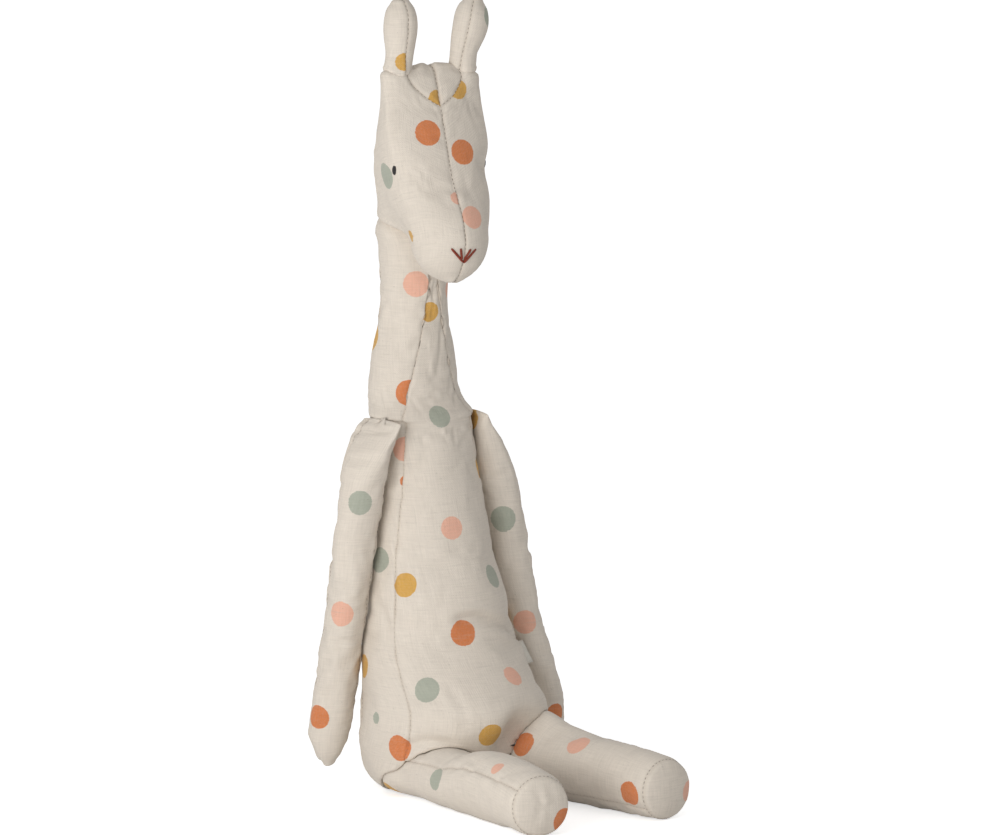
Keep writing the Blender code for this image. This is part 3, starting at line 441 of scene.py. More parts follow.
def under_pixel(tree, column, row):
    """The cloth's point and normal under a pixel, or None twice where the ray misses it."""
    hit, normal = tree.ray_cast(*map(Vector, pixel_ray(column, row)))[:2]
    return (None, None) if hit is None else (np.array(hit), np.array(normal))


def nearest_to_pixel(tree, column, row):
    """The cloth's point under a pixel, or else the one that lies nearest to the pixel's ray."""
    hit = under_pixel(tree, column, row)[0]
    if hit is not None:
        return hit
    start, ray = pixel_ray(column, row)
    reaches = np.linspace(VIEW_DISTANCE - 0.3, VIEW_DISTANCE + 0.3, 60)
    found = [tree.find_nearest(Vector(start + ray * reach)) for reach in reaches]
    return np.array(min(found, key=lambda spot: spot[3])[0])


# Forms: rows of points round a spine, a pole at each end, and the panel that each face belongs to

def down_column(columns, j, first, last):
    """Numbers of the points in a column, from one row to before another."""
    return [i * columns + j % columns for i in range(first, last)]


def round_row(columns, i, first, last):
    """Numbers of the points in a row, from one column to another."""
    return [i * columns + j % columns for j in range(first, last + 1)]


def side_of(j, columns):
    """The hand of the side that a face's column lies on, and how many columns it lies from the front."""
    return ("left", j) if j < columns // 2 else ("right", columns - 1 - j)


class Form:
    """A closed form of cloth. A seam is a line of points, how strong it is and how far its stitches show."""

    def __init__(self, name, rows, start, end, panels, seams, kept_rows, kept_columns, flat_panels=None):
        self.name = name
        self.count, self.columns = rows.shape[:2]
        self.points = np.vstack([rows.reshape(-1, 3), [start, end]])
        self.seams = seams
        self.kept_rows, self.kept_columns = kept_rows, kept_columns
        self.flat_panels = flat_panels or {}
        self.corners, self.owners = [], []
        for i in range(-1, self.count):
            for j in range(self.columns):
                corners = [(i, j), (i, j + 1), (i + 1, j + 1), (i + 1, j)]
                if i < 0 or i == self.count - 1:
                    corners.pop(1 if i < 0 else 3)
                self.corners.append(corners)
                self.owners.append((panels(max(i, 0), j), j))
        self.number_faces()
        a, b, c = (self.points[k] for k in self.triangles.T)
        self.flipped = float(np.einsum("ij,ij->i", a, np.cross(b, c)).sum()) < 0
        if self.flipped:
            self.corners = [corners[::-1] for corners in self.corners]
            self.number_faces()
        step = np.linalg.norm(np.diff(rows, axis=1, append=rows[:, :1]), axis=2)
        self.around = np.concatenate([np.zeros((self.count, 1)), np.cumsum(step, axis=1)], axis=1)
        down = np.linalg.norm(np.diff(rows, axis=0), axis=2)
        self.along = np.concatenate([np.zeros((1, self.columns)), np.cumsum(down, axis=0)]).mean(axis=1)

    def number_faces(self):
        """The faces by the numbers of their points, and cut into triangles."""
        self.faces = [tuple(self.index(i, j) for i, j in corners) for corners in self.corners]
        self.triangles = np.array([(f[0], f[k], f[k + 1]) for f in self.faces for k in range(1, len(f) - 1)])

    def index(self, i, j):
        """The number of a point. The rows before the first and after the last are the poles."""
        inside = 0 <= i < self.count
        return i * self.columns + j % self.columns if inside else self.count * self.columns + (i > 0)

    def grid(self):
        """The points without the poles, as rows by columns."""
        return self.points[:-2].reshape(self.count, self.columns, 3)

    def normals(self):
        """Outward normal at each point."""
        a, b, c = (self.points[k] for k in self.triangles.T)
        area = np.cross(b - a, c - a)
        total = np.zeros_like(self.points)
        for k in range(3):
            np.add.at(total, self.triangles[:, k], area)
        return unit(total)

    def tree(self):
        """A search tree of the faces as they are now."""
        return BVHTree.FromPolygons([Vector(p) for p in self.points], self.faces)

    def uv(self, i, j, side):
        """Cloth coordinates of a corner in metres, measured from the front on the side of its face's column."""
        if not 0 <= i < self.count:
            row = min(max(i, 0), self.count - 1)
            near, far = self.uv(row, side, side), self.uv(row, side + 1, side)
            return (near[0] + far[0]) / 2, near[1] + (0.002 if i > 0 else -0.002)
        return self.around[i, j] - (self.around[i, -1] if side >= self.columns // 2 else 0), self.along[i]

    def corner_uv(self):
        """Cloth coordinates of every face corner, laid flat where the panel has two directions of its own."""
        uv = []
        for face, corners, (panel, side) in zip(self.faces, self.corners, self.owners):
            if panel in self.flat_panels:
                uv.extend(self.points[list(face)] @ np.transpose(self.flat_panels[panel]))
            else:
                uv.extend(self.uv(i, j, side) for i, j in corners)
        return np.array(uv)


# Shaping the cloth

def displace_along_seams(form, settings, pucker=1.0):
    """Draws the cloth in along its seams, puckers it beside them and records the painted shade beside them."""
    spots, marks = [], []
    for number, (line, strength, _) in enumerate(form.seams):
        route = form.points[line]
        lengths = measured(route)
        for along in np.linspace(0, lengths[-1], max(int(lengths[-1] / SEAM_STEP), 2)):
            spots.append(sample(along, lengths, route))
            marks.append((along, number, strength))
    tree = spot_tree(spots)
    form.near_seam = np.zeros(len(form.points))
    shift = np.zeros(len(form.points))
    for k, point in enumerate(form.points):
        where = Vector(point)
        _, found, away = tree.find(where)
        along, seam, strength = marks[found]
        wide = settings.seam_width * (1 + 1.2 * max(strength - 1.0, 0.0))
        groove = 0.55 * np.exp(-((away / wide) ** 2)) + 0.45 * np.exp(-((away / (wide * 0.35)) ** 2))
        waver = noise.noise(Vector((along / 0.0062, away / 0.030, seam * 7.1)))
        waver += 0.6 * noise.noise(Vector((along / 0.0032, away / 0.020, seam * 3.3 + 40.0)))
        ripple = settings.pucker * pucker * strength * waver * np.exp(-away / PUCKER_REACH)
        bulge = 0.00055 * noise.noise(where * 30.0) + 0.0003 * noise.noise(where * 75.0)
        shift[k] = ripple - settings.seam_depth * strength * groove + bulge * smooth(0.0, 0.010, away)
        # Painted shade: how strongly the linen's colour is darkened beside the seam
        form.near_seam[k] = np.exp(-((away / SEAM_SHADE_REACH) ** 2)) * min(strength, 1.0)
    form.points = form.points + form.normals() * shift[:, None]


def fold(form):
    """Presses folds into the cloth along lines that the photograph shows."""
    tree = form.tree()
    normals = form.normals()
    for pixels, depth, width, further in FOLD_PIXELS.get(form.name, ()):
        steps = [
            under_pixel(tree, *(np.array(begin) + np.subtract(end, begin) * share))[0]
            for begin, end in zip(pixels, pixels[1:])
            for share in np.linspace(0, 1, 12)
        ]
        route = [hit for hit in steps if hit is not None]
        run = unit(route[-1] - route[-6])
        for _ in range(int(further / FOLD_STEP)):
            hit = np.array(tree.find_nearest(Vector(route[-1] + run * FOLD_STEP))[0])
            run = unit(hit - route[-1])
            route.append(hit)
        near = spot_tree(route)
        for k, point in enumerate(form.points):
            _, found, away = near.find(Vector(point))
            if away < width * 4:
                ends = smooth(0, 0.35, min(found, len(route) - 1 - found) / len(route) * 2 + 0.18)
                press = -depth * np.exp(-((away / width) ** 2))
                lift = 0.45 * depth * np.exp(-(((away - 2.0 * width) / (0.9 * width)) ** 2))
                form.points[k] += normals[k] * (press + lift) * ends


def coarse_numbers(count, kept):
    """Every few numbers below count, with the kept ones among them."""
    trimmed = [0]
    for number in sorted({*range(0, count, SWELL_STEP), *kept, count - 1} - {0}):
        close = number - trimmed[-1] < SWELL_STEP / 2
        if not close or number in kept:
            if close and trimmed[-1] not in kept:
                trimmed.pop()
            trimmed.append(number)
    return trimmed


def swell(form, settings, growth, limit, loose):
    """Swells the loose rows between the seams, with a cloth simulation on a coarser copy of the form.

    The cloth grows by a share of its size, and no point of it moves further than the limit.
    """
    rows = coarse_numbers(form.count, form.kept_rows)
    columns = coarse_numbers(form.columns, form.kept_columns)
    count, width = len(rows), len(columns)
    first = count * width
    points = np.vstack([form.grid()[np.ix_(rows, columns)].reshape(-1, 3), form.points[-2:]])
    faces = []
    for j in range(width):
        n = (j + 1) % width
        faces.append((first, n, j))
        for i in range(count - 1):
            faces.append((i * width + j, i * width + n, (i + 1) * width + n, (i + 1) * width + j))
        faces.append(((count - 1) * width + j, (count - 1) * width + n, first + 1))
    mesh = bpy.data.meshes.new("swell")
    mesh.from_pydata([tuple(p) for p in points], [], [face[::-1] for face in faces] if form.flipped else faces)
    copy = bpy.data.objects.new("swell", mesh)
    scene = bpy.context.scene
    scene.collection.objects.link(copy)
    sewn = {*form.kept_columns, *(form.columns - column for column in form.kept_columns)}
    if form.name != "head":
        sewn.discard(0)
    held = [c in sewn or row in form.kept_rows or row not in loose for row in rows for c in columns]
    group = copy.vertex_groups.new(name="pin")
    group.add([k for k in range(first) if held[k]] + [first, first + 1], 1.0, "REPLACE")
    cloth = copy.modifiers.new("cloth", "CLOTH")
    for name, value in CLOTH.items():
        setattr(cloth.settings, name, value)
    cloth.settings.uniform_pressure_force = settings.pressure
    cloth.settings.shrink_min = -growth
    cloth.settings.effector_weights.gravity = 0.0
    cloth.point_cache.frame_start = 1
    cloth.point_cache.frame_end = settings.frames
    for number in range(1, settings.frames + 1):
        scene.frame_set(number)
    shown = copy.evaluated_get(bpy.context.evaluated_depsgraph_get())
    moved = np.empty(len(points) * 3)
    shown.data.vertices.foreach_get("co", moved)
    shift = moved.reshape(-1, 3)[:first] - points[:first]
    bpy.data.objects.remove(copy, do_unlink=True)
    bpy.data.meshes.remove(mesh)
    scene.frame_set(1)
    size = np.linalg.norm(shift, axis=1, keepdims=True)
    shift = (shift * np.minimum(1.0, limit / np.maximum(size, 1e-9)) * SWELL_SHARE).reshape(count, width * 3)
    down = between(np.column_stack([rows, shift]), np.arange(form.count)).reshape(form.count, width, 3)
    down = np.concatenate([down, down[:, :1]], axis=1).transpose(1, 0, 2).reshape(width + 1, -1)
    fine = between(np.column_stack([[*columns, form.columns], down]), np.arange(form.columns))
    form.points[:-2] += fine.reshape(form.columns, form.count, 3).transpose(1, 0, 2).reshape(-1, 3)


def off_surface(tree, point):
    """How far a point lies outside a form, and the direction out."""
    hit, normal, _, away = tree.find_nearest(Vector(point))
    return -away if (Vector(point) - hit).dot(normal) < 0 else away, np.array(normal)


def melt(form, other, reach, passes=8):
    """Rounds the corner where this form runs into another, as one cloth would."""
    normals = form.normals()
    shift = np.zeros_like(form.points)
    for k, point in enumerate(form.points):
        width = reach(point)
        if width <= 0:
            continue
        away, out = off_surface(other, point)
        if -ROUNDED_DEPTH < away < width:
            # Cloth that already lies alongside needs no rounding, and cloth further inside stays hidden
            turn = float(normals[k] @ out)
            rise = (width - abs(away)) ** 2 / (4 * width)
            rise = rise * min(1.15 * (1 - turn), 1.0) * min(1 + away / ROUNDED_DEPTH, 1.0)
            shift[k] = (normals[k] + out) * rise / max(1 + turn, 0.6)
    grid = shift[:-2].reshape(form.count, form.columns, 3)
    for _ in range(passes):
        beside = np.roll(grid, 1, axis=1) + np.roll(grid, -1, axis=1)
        above = np.concatenate([grid[:1], grid[:-1]]) + np.concatenate([grid[1:], grid[-1:]])
        grid = grid * 0.4 + (beside + above) * 0.15
    form.points[:-2] += grid.reshape(-1, 3)


def nudge(form):
    """Pulls the cloth a little where the photograph shows its outline elsewhere."""
    tree = form.tree()
    for column, row, across, down, reach in NUDGES.get(form.name, ()):
        away = np.linalg.norm(form.points - nearest_to_pixel(tree, column, row), axis=1)
        pull = (VIEW_RIGHT * across - VIEW_UP * down) * VIEW_SCALE
        form.points += pull * np.exp(-((away / reach) ** 2))[:, None]


def crumple(form, seed, count, depth, first=0, last=0):
    """Presses soft short creases into the cloth, but not into its first and last rows."""
    rng = np.random.default_rng(seed)
    normals = form.normals()
    base = form.points.copy()
    shift = np.zeros(len(base))
    for k in rng.integers(first * form.columns, (form.count - last) * form.columns, count):
        run = unit(np.cross(normals[k], rng.normal(size=3)))
        length = rng.uniform(*CREASE_LENGTHS)
        width = rng.uniform(*CREASE_WIDTHS)
        offset = base - base[k]
        along = offset @ run
        rest = (np.linalg.norm(offset - along[:, None] * run, axis=1) / width) ** 2
        shape = (1 - 1.5 * rest) * np.exp(-rest) * np.exp(-((along / length) ** 2))
        shift -= depth * rng.uniform(0.3, 1.0) * shape
    form.points += normals * shift[:, None]


# The giraffe's forms

def body_section(height):
    """Half width, front y and back y of the body or neck at heights above the seat."""
    height = np.asarray(height, dtype=float)
    _, wide, ahead, behind = BODY_ROW_SHARES[-1]
    seam_row = (
        0.0,
        BODY_HALF_WIDTH * wide / NECK_RADIUS,
        (BELLY_REACH * ahead + NECK_AXIS_Y) / NECK_RADIUS,
        (BACK_REACH * behind - NECK_AXIS_Y) / NECK_RADIUS,
    )
    low = between(BODY_ROW_SHARES, height / BODY_HEIGHT) * (BODY_HALF_WIDTH, -BELLY_REACH, BACK_REACH)
    high = between([seam_row, *NECK_ROW_SHARES], (height - BODY_HEIGHT) / NECK_LENGTH)
    high = high * (NECK_RADIUS, -NECK_RADIUS, NECK_RADIUS) + (0.0, NECK_AXIS_Y, NECK_AXIS_Y)
    return np.moveaxis(np.where((height <= BODY_HEIGHT)[..., None], low, high), -1, 0)


def body_form():
    """The body and neck."""
    front_edge, back_edge, body_rows = 28, 58, 112
    top = BODY_HEIGHT + NECK_LENGTH
    body_heights = BODY_HEIGHT * spread(body_rows, "both", 0.5)
    neck_heights = BODY_HEIGHT + NECK_LENGTH * spread(58, "first", 0.5)
    heights = np.concatenate([body_heights, neck_heights, [top]])
    seam = between(FRONT_SEAM_SHARES, heights / top)[:, :1]
    side = seam + (BACK_SEAM_ANGLE - seam) * spread(back_edge - front_edge)
    back = BACK_SEAM_ANGLE + (180 - BACK_SEAM_ANGLE) * spread(26) * np.ones_like(seam)
    turn = np.radians(all_round(np.concatenate([seam * spread(front_edge, "last"), side, back], axis=1)))
    width, front, rear = (value[:, None] for value in body_section(heights))
    middle = (front + rear) / 2
    y = middle - (rear - front) / 2 * np.cos(turn)
    rings = np.stack([width * np.sin(turn), y, heights[:, None] * np.ones_like(turn)], axis=-1)
    start = np.array((0.0, float(middle[0, 0]), 0.0))
    end = np.array((0.0, NECK_AXIS_Y, top + NECK_RADIUS))
    seat = cap(rings[0], start, 14)
    rows = np.array([*seat, *rings, *cap(rings[-1], end, NECK_CAP_ROWS)[::-1]])
    count, columns = rows.shape[:2]
    shoulder = len(seat) + body_rows

    def panels(i, j):
        hand, from_front = side_of(j, columns)
        if i < len(seat):
            return "seat"
        if from_front < front_edge:
            return "front"
        if from_front >= back_edge:
            return f"back_{hand}"
        return f"side_{hand}" if i < shoulder else f"neck_{hand}"

    lines = ((front_edge, 0.8, 0.42), (-front_edge, 0.8, 0.42), (back_edge, 0.9, 0.7), (-back_edge, 0.9, 0.7))
    seams = [
        (down_column(columns, j, len(seat), count), strength, shows)
        for j, strength, shows in (*lines, (columns // 2, 0.9, 0.9))
    ]
    seams.append((round_row(columns, len(seat), 0, columns), 0.7, 0.5))
    seams.append((round_row(columns, shoulder, front_edge, back_edge), 1.3, 0.4))
    seams.append((round_row(columns, shoulder, columns - back_edge, columns - front_edge), 1.3, 0.4))
    kept_rows = [0, len(seat), shoulder, len(seat) + len(heights) - 1]
    kept_columns = [0, front_edge, back_edge, columns // 2, columns - back_edge, columns - front_edge]
    flat = {"seat": ((1.0, 0.0, 0.0), (0.0, 1.0, 0.0))}
    return Form("torso", rows, start, end, panels, seams, kept_rows, kept_columns, flat)


def turned(points):
    """Points of the straight head, turned with it about the neck's axis."""
    x, y, z = np.moveaxis(np.asarray(points, dtype=float) - NECK_PIVOT, -1, 0)
    c, s = cos(HEAD_TURN), sin(HEAD_TURN)
    return NECK_PIVOT + np.stack([c * x + s * y, c * y - s * x, z], axis=-1)


def turned_back(point):
    """A point of the turned head, from the pivot, as it would lie on the straight one."""
    x, y, z = np.asarray(point) - NECK_PIVOT
    c, s = cos(HEAD_TURN), sin(HEAD_TURN)
    return c * x - s * y, c * y + s * x, z


def head_points(places, angles):
    """Points of the head. Places run from 0 at the crown to 1 at the muzzle, the angles from the front."""
    wide, front, back = np.moveaxis(between(HEAD_ROW_SHARES, places), -1, 0)
    turn = np.radians(angles)
    ahead = np.where(np.cos(turn) > 0, HEAD_FRONT * front, HEAD_BACK * back) * np.cos(turn)
    along = HEAD_LENGTH * np.asarray(places)
    y = NECK_PIVOT[1] - HEAD_LEAD - along * sin(HEAD_TILT) - ahead * cos(HEAD_TILT)
    z = NECK_PIVOT[2] + HEAD_RISE - along * cos(HEAD_TILT) + ahead * sin(HEAD_TILT)
    return turned(np.stack([HEAD_HALF_WIDTH * wide * np.sin(turn), y, z], axis=-1))


def head_form():
    """The head, whose upper rows follow the edge of the crown panels."""
    cheek = 46
    back = HEAD_BACK_SEAM_ANGLE + (180 - HEAD_BACK_SEAM_ANGLE) * spread(18)
    angles = all_round(np.concatenate([HEAD_BACK_SEAM_ANGLE * spread(cheek), back]))
    reach = between(CROWN_REACH_SHARES, np.minimum(angles, 360 - angles))[..., 0]
    first, last = HEAD_ROW_SHARES[0][0], HEAD_ROW_SHARES[-1][0]
    crown = spread(12, "last", 0.6)[:, None]
    face = np.append(spread(64, "first", 0.5), 1.0)[:, None]
    places = np.concatenate([first + (reach - first) * crown, reach + (last - reach) * face])
    rings = head_points(places, angles[None, :] * np.ones_like(places))
    start, end = (head_points(np.full(2, place), np.array((0.0, 180.0))).mean(axis=0) for place in (0.0, 1.0))
    start = start + np.array((0.0, 0.0, HEAD_LENGTH * first / 2))
    top = cap(rings[0], start, 7)
    rows = np.array([*top, *rings, *cap(rings[-1], end, 3)[::-1]])
    count, columns = rows.shape[:2]
    crown_row = len(top) + len(crown)
    nape_row = crown_row + len(face) // 2

    def panels(i, j):
        hand, from_front = side_of(j, columns)
        return f"crown_{hand}" if i < crown_row or from_front >= cheek else f"cheek_{hand}"

    seams = [
        (down_column(columns, 0, 0, crown_row + 1), 1.7, 0.8),
        (down_column(columns, 0, crown_row, count), 0.8, 1.0),
        (down_column(columns, columns // 2, 0, count), 0.9, 1.0),
        (down_column(columns, cheek, crown_row, nape_row), 0.9, 0.8),
        (down_column(columns, -cheek, crown_row, nape_row), 0.9, 0.8),
    ]
    # The crown's edge is broken by the ears, whose own seams go on from it
    before = [j for j in range(cheek) if angles[j] < EAR_GAP[0]]
    behind = [j for j in range(cheek + 1) if angles[j] > EAR_GAP[1]]
    for line in (before, behind):
        for side in (1, -1):
            seams.append(([crown_row * columns + side * j % columns for j in line], 0.9, 0.9))
    kept_columns = [0, cheek, columns // 2, columns - cheek]
    return Form("head", rows, start, end, panels, seams, [0, crown_row], kept_columns)


def ear_form(hand, side, lean, roll):
    """One ear, round at its base and seamed front and back."""
    pivot = turned(NECK_PIVOT + (side * EAR_SPREAD, -EAR_LEAD, EAR_RISE))
    sideways = turned(NECK_PIVOT + (1.0, 0.0, 0.0)) - NECK_PIVOT
    upright = np.array((0.0, 0.0, 1.0))
    up = cos(lean) * upright + side * sin(lean) * sideways
    out = cos(lean) * sideways - side * sin(lean) * upright
    ahead = np.cross(up, out)
    turn = np.radians(all_round(180 * spread(22)) + roll)[:, None]
    height = EAR_LENGTH - EAR_BASE_RADIUS
    places = np.linspace(EAR_ROW_SHARES[0][0], EAR_ROW_SHARES[-1][0], 24)
    rings = []
    for place, (across, deep) in zip(places, between(EAR_ROW_SHARES, places)):
        ring = out * across * np.sin(turn) - ahead * deep * np.cos(turn)
        rings.append(pivot + up * height * place + EAR_RADIUS * ring)
    start, end = pivot - up * EAR_BASE_RADIUS, pivot + up * height
    rows = np.array([*cap(rings[0], start, 5), *rings, *cap(rings[-1], end, 5)[::-1]])
    count, columns = rows.shape[:2]
    seams = [(down_column(columns, j, 0, count), 0.75, 1.0) for j in (0, columns // 2)]
    form = Form(
        f"ear_{hand}", rows, start, end, lambda i, j: side_of(j, columns)[0], seams, [0, 5], [0, columns // 2]
    )
    form.pivot, form.up = pivot, up
    return form


def limb_angles(quarter, roll):
    """Angles round a limb in radians, closer together at its two seams, which are rolled by some degrees."""
    first, middle = 90 * spread(quarter, "last"), 90 + 180 * spread(2 * quarter)
    return np.radians(np.concatenate([first, middle, 270 + 90 * spread(quarter, "first")]) + roll)


def rest_beside_body(y, height, half_width, half_thickness):
    """How far out the middle of an arm's section lies, for its inner side to rest against the body."""
    width, front, back = (float(value) for value in body_section(height))
    reach = 0.0
    for share in np.linspace(-1, 1, 9):
        off_middle = (y + share * half_width - (front + back) / 2) / ((back - front) / 2)
        body_side = width * max(1 - off_middle**2, 0.0) ** 0.5
        reach = max(reach, body_side + half_thickness * (1 - share**2) ** 0.5)
    return reach


def arm_form(hand, side, swing, roll):
    """One arm, flat where it is sewn in at the shoulder and round at the hand."""
    quarter, flat_share = 13, 0.14
    turn = limb_angles(quarter, roll)
    drops = np.linspace(flat_share, ARM_ROW_SHARES[-1][0], 86)
    drops = np.concatenate([flat_share * spread(16, "first", 0.6), drops])
    rings = []
    out = 0.0
    for drop, (back, thick, wide) in zip(drops, between(ARM_ROW_SHARES, drops)):
        y = SHOULDER_Y + swing * back
        height = BODY_HEIGHT - ARM_DROP * drop
        slack = SEAT_GAP + ARM_SLACK * min(drop / ARM_SLACK_SHARE, 1.0)
        out = max(out, rest_beside_body(y, height, ARM_RADIUS * wide, ARM_RADIUS * thick) + slack)
        across = side * out + ARM_RADIUS * thick * np.sin(turn)
        ahead = y - ARM_RADIUS * wide * np.cos(turn)
        rings.append(np.stack([across, ahead, height * np.ones_like(turn)], axis=-1))
    start = rings[0].mean(axis=0) + (0.0, 0.0, ARM_TOP_HALF)
    end = np.array((side * out, SHOULDER_Y + swing, BODY_HEIGHT - ARM_DROP))
    rows = np.array([*cap(rings[0], start, 3), *rings, *cap(rings[-1], end, 4)[::-1]])
    count, columns = rows.shape[:2]

    def panels(i, j):
        return "front" if j < quarter or j >= columns - quarter else "back"

    seams = [(down_column(columns, j, 2, count), 0.8, 0.8) for j in (quarter, -quarter)]
    return Form(f"arm_{hand}", rows, start, end, panels, seams, [0, 3], [0, quarter, columns - quarter])


def leg_form(hand, side, splay, thigh):
    """One leg: a round hip, a thigh that swells beside the belly, and a flat sole."""
    centre = np.array((side * HIP_SPREAD, HIP_Y, HIP_RADIUS))
    along = np.array((side * sin(splay), -cos(splay), 0.0))
    up = np.array((0.0, 0.0, 1.0))
    across = np.cross(along, up)
    quarter = 14
    outward = side if across[0] > 0 else -side
    turn = limb_angles(quarter, -outward * LEG_SEAM_ROLL)
    rings = []
    for rise in np.linspace(-84.0, 0.0, 12):
        share = float(between(LEG_TOP_SHARES, rise)[0])
        middle = centre + along * HIP_RADIUS * sin(radians(rise))
        rings.append((middle, LEG_HALF_WIDTH * share, HIP_RADIUS * cos(radians(rise)), 0.0))
    first, last = LEG_ROW_SHARES[0][0], LEG_ROW_SHARES[-1][0]
    places = first + (last - first) * np.append(spread(78, "last", 0.5), 1.0)
    height, peak, width, lean = thigh
    for place, (wide, mid, tall) in zip(places[1:], between(LEG_ROW_SHARES, places)[1:]):
        middle = centre + along * (LEG_LENGTH * place - HIP_RADIUS)
        middle[2] = LEG_HALF_HEIGHT * mid
        extra = height * np.exp(-(((place - peak) / width) ** 2)) * smooth(0.09, 0.2, place)
        rings.append((middle, LEG_HALF_WIDTH * wide, LEG_HALF_HEIGHT * tall, extra))
    crest = np.exp(-(((np.sin(turn) * outward - lean) / 1.5) ** 2)) * np.maximum(np.cos(turn), 0) ** 0.6

    def ring(middle, wide, tall, extra=0.0):
        rise = tall * np.cos(turn) + extra * crest
        return middle + across * (wide * np.sin(turn))[:, None] + up * rise[:, None]

    rows = [ring(*sizes) for sizes in rings]
    sole_middle, wide, tall, _ = rings[-1]
    reach = LEG_LENGTH - HIP_RADIUS + SOLE_BULGE - 0.0018
    for share in SOLE_RING_SHARES:
        middle = centre + along * (reach + 0.0018 * share - SOLE_BULGE * share**2)
        middle[2] = sole_middle[2]
        rows.append(ring(middle, wide * share, tall * share))
    start = centre - along * HIP_RADIUS
    end = centre + along * reach
    end[2] = sole_middle[2]
    rows = np.array(rows)
    columns = rows.shape[1]
    sole_row = len(rings) - 1

    def panels(i, j):
        if i >= sole_row:
            return "sole"
        return "upper" if j < quarter or j >= columns - quarter else "under"

    seams = [(down_column(columns, j, 8, sole_row + 1), 0.8, 0.35) for j in (quarter, -quarter)]
    seams.append((round_row(columns, sole_row, 0, columns), 0.65, 1.0))
    kept_columns = [0, quarter, columns - quarter]
    flat = {"sole": (across, up)}
    return Form(f"leg_{hand}", rows, start, end, panels, seams, [0, sole_row], kept_columns, flat)


def rest_on_legs(form, legs):
    """Lifts the underside of the belly on to the thighs, and a little between them."""
    trees = [leg.tree() for leg in legs]
    for k, (x, y, z) in enumerate(form.points):
        if y > HIP_BACK_Y or z > 0.075:
            continue
        hits = [tree.ray_cast(Vector((x, y, 0.12)), Vector((0.0, 0.0, -1.0)))[0] for tree in trees]
        arch = CROTCH_HEIGHT * min(max((HIP_Y - y + HIP_RADIUS) / HIP_RADIUS, 0.0), 1.0) ** 0.5
        between_legs = arch * float(smooth(0.034, 0.014, abs(x)))
        form.points[k, 2] = max([z, between_legs] + [hit.z + 0.0005 for hit in hits if hit is not None])


def overhang(form):
    """Lets the cloth above the shoulder seam stand out over the top of the arm."""
    for k, (x, y, z) in enumerate(form.points):
        if z > BODY_HEIGHT and abs(x) > 0.01:
            level = np.exp(-(((z - BODY_HEIGHT - 0.0016) / 0.0045) ** 2))
            form.points[k, 0] += np.sign(x) * 0.0030 * level * smooth(0.028, 0.012, abs(y - SHOULDER_Y))


def keep_clear(form, tree, gap):
    """Moves points that lie inside another form out to its surface."""
    for k, point in enumerate(form.points):
        hit, normal, _, away = tree.find_nearest(Vector(point))
        out = (Vector(point) - hit).dot(normal)
        if away < 0.03 and out < gap:
            form.points[k] += np.array(normal) * (gap - out)


def hip_reach(point):
    """How wide the corner between body and leg is rounded: soft only outside the hip, close to the seat."""
    x, y, z = point
    outside = float(smooth(0.028, 0.042, abs(x)) * smooth(0.050, 0.030, z) * smooth(-0.105, -0.085, y))
    return 0.016 * outside if outside > 0.03 else 0.0


def nape_reach(point):
    """How wide the corner between head and neck is rounded: sharp at the throat, soft at the nape."""
    x, y, z = point
    angle = np.degrees(np.arctan2(x, -(y - NECK_AXIS_Y)))
    return 0.0025 + 0.0215 * float(smooth(36.0, 66.0, abs(angle + 2.0))) if 0.290 <= z <= 0.440 else 0.0


def ear_reach(point):
    """How wide the corner between head and ear is rounded: soft outside the ear, sharp beside the crown."""
    x, _, z = turned_back(point)
    return 0.0025 + 0.0155 * float(smooth(EAR_SPREAD - 0.005, EAR_SPREAD + 0.002, abs(x))) if z > 0.085 else 0.0


# Objects from forms

def new_object(name, points, faces, material):
    """A smooth mesh object with one of the script's materials."""
    mesh = bpy.data.meshes.new(name)
    mesh.from_pydata([tuple(point) for point in points], [], faces)
    mesh.update()
    mesh.shade_smooth()
    mesh.materials.append(materials[material])
    thing = bpy.data.objects.new(name, mesh)
    bpy.context.scene.collection.objects.link(thing)
    return thing


def attach(piece, form):
    """Lets a piece on a form's cloth move with the bodies that the cloth joins."""
    name = form.name
    if name in ("torso", "head"):
        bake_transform(piece, "torso", "head", start=NOD_BLEND[0], end=NOD_BLEND[1])
    elif name.startswith("ear"):
        start = form.pivot - form.up * 0.001
        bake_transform(piece, "head", name, start=tuple(start), end=tuple(start + form.up * EAR_BLEND))
    elif name.startswith("arm"):
        end = (0.0, SHOULDER_Y, BODY_HEIGHT - SHOULDER_BLEND)
        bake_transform(piece, "torso", name, start=(0.0, SHOULDER_Y, BODY_HEIGHT), end=end)
    else:
        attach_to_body(piece, name)


def stands_for(name):
    """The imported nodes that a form's linen stands for."""
    if name in SINGLE_NODES:
        paired = [f"{part}_panel_{hand}" for part in PAIRED_NODES[name] for hand in ("right", "left")]
        return [*SINGLE_NODES[name], *paired]
    return [f"{name}_{part}" for part in LIMB_NODES[name.split("_")[0]]]


def cloth_object(form):
    """The linen of a finished form, with its cloth coordinates and the painted shade beside its seams as an
    attribute.
    """
    form.points[:, 2] = np.maximum(form.points[:, 2], 0.0002)
    forms[form.name] = form
    piece = new_object(f"{form.name}_cloth", form.points, form.faces, "printed_linen")
    layer = piece.data.uv_layers.new(name="cloth")
    layer.data.foreach_set("uv", form.corner_uv().astype(np.float32).ravel())
    seam = piece.data.attributes.new("near_seam", "FLOAT", "POINT")
    seam.data.foreach_set("value", form.near_seam.astype(np.float32))
    attach(piece, form)
    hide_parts(*stands_for(form.name))


def sheet_faces(rows, columns):
    """Faces between points that lie in rows and columns."""
    starts = [row * columns + column for row in range(rows - 1) for column in range(columns - 1)]
    return [(k, k + 1, k + columns + 1, k + columns) for k in starts]


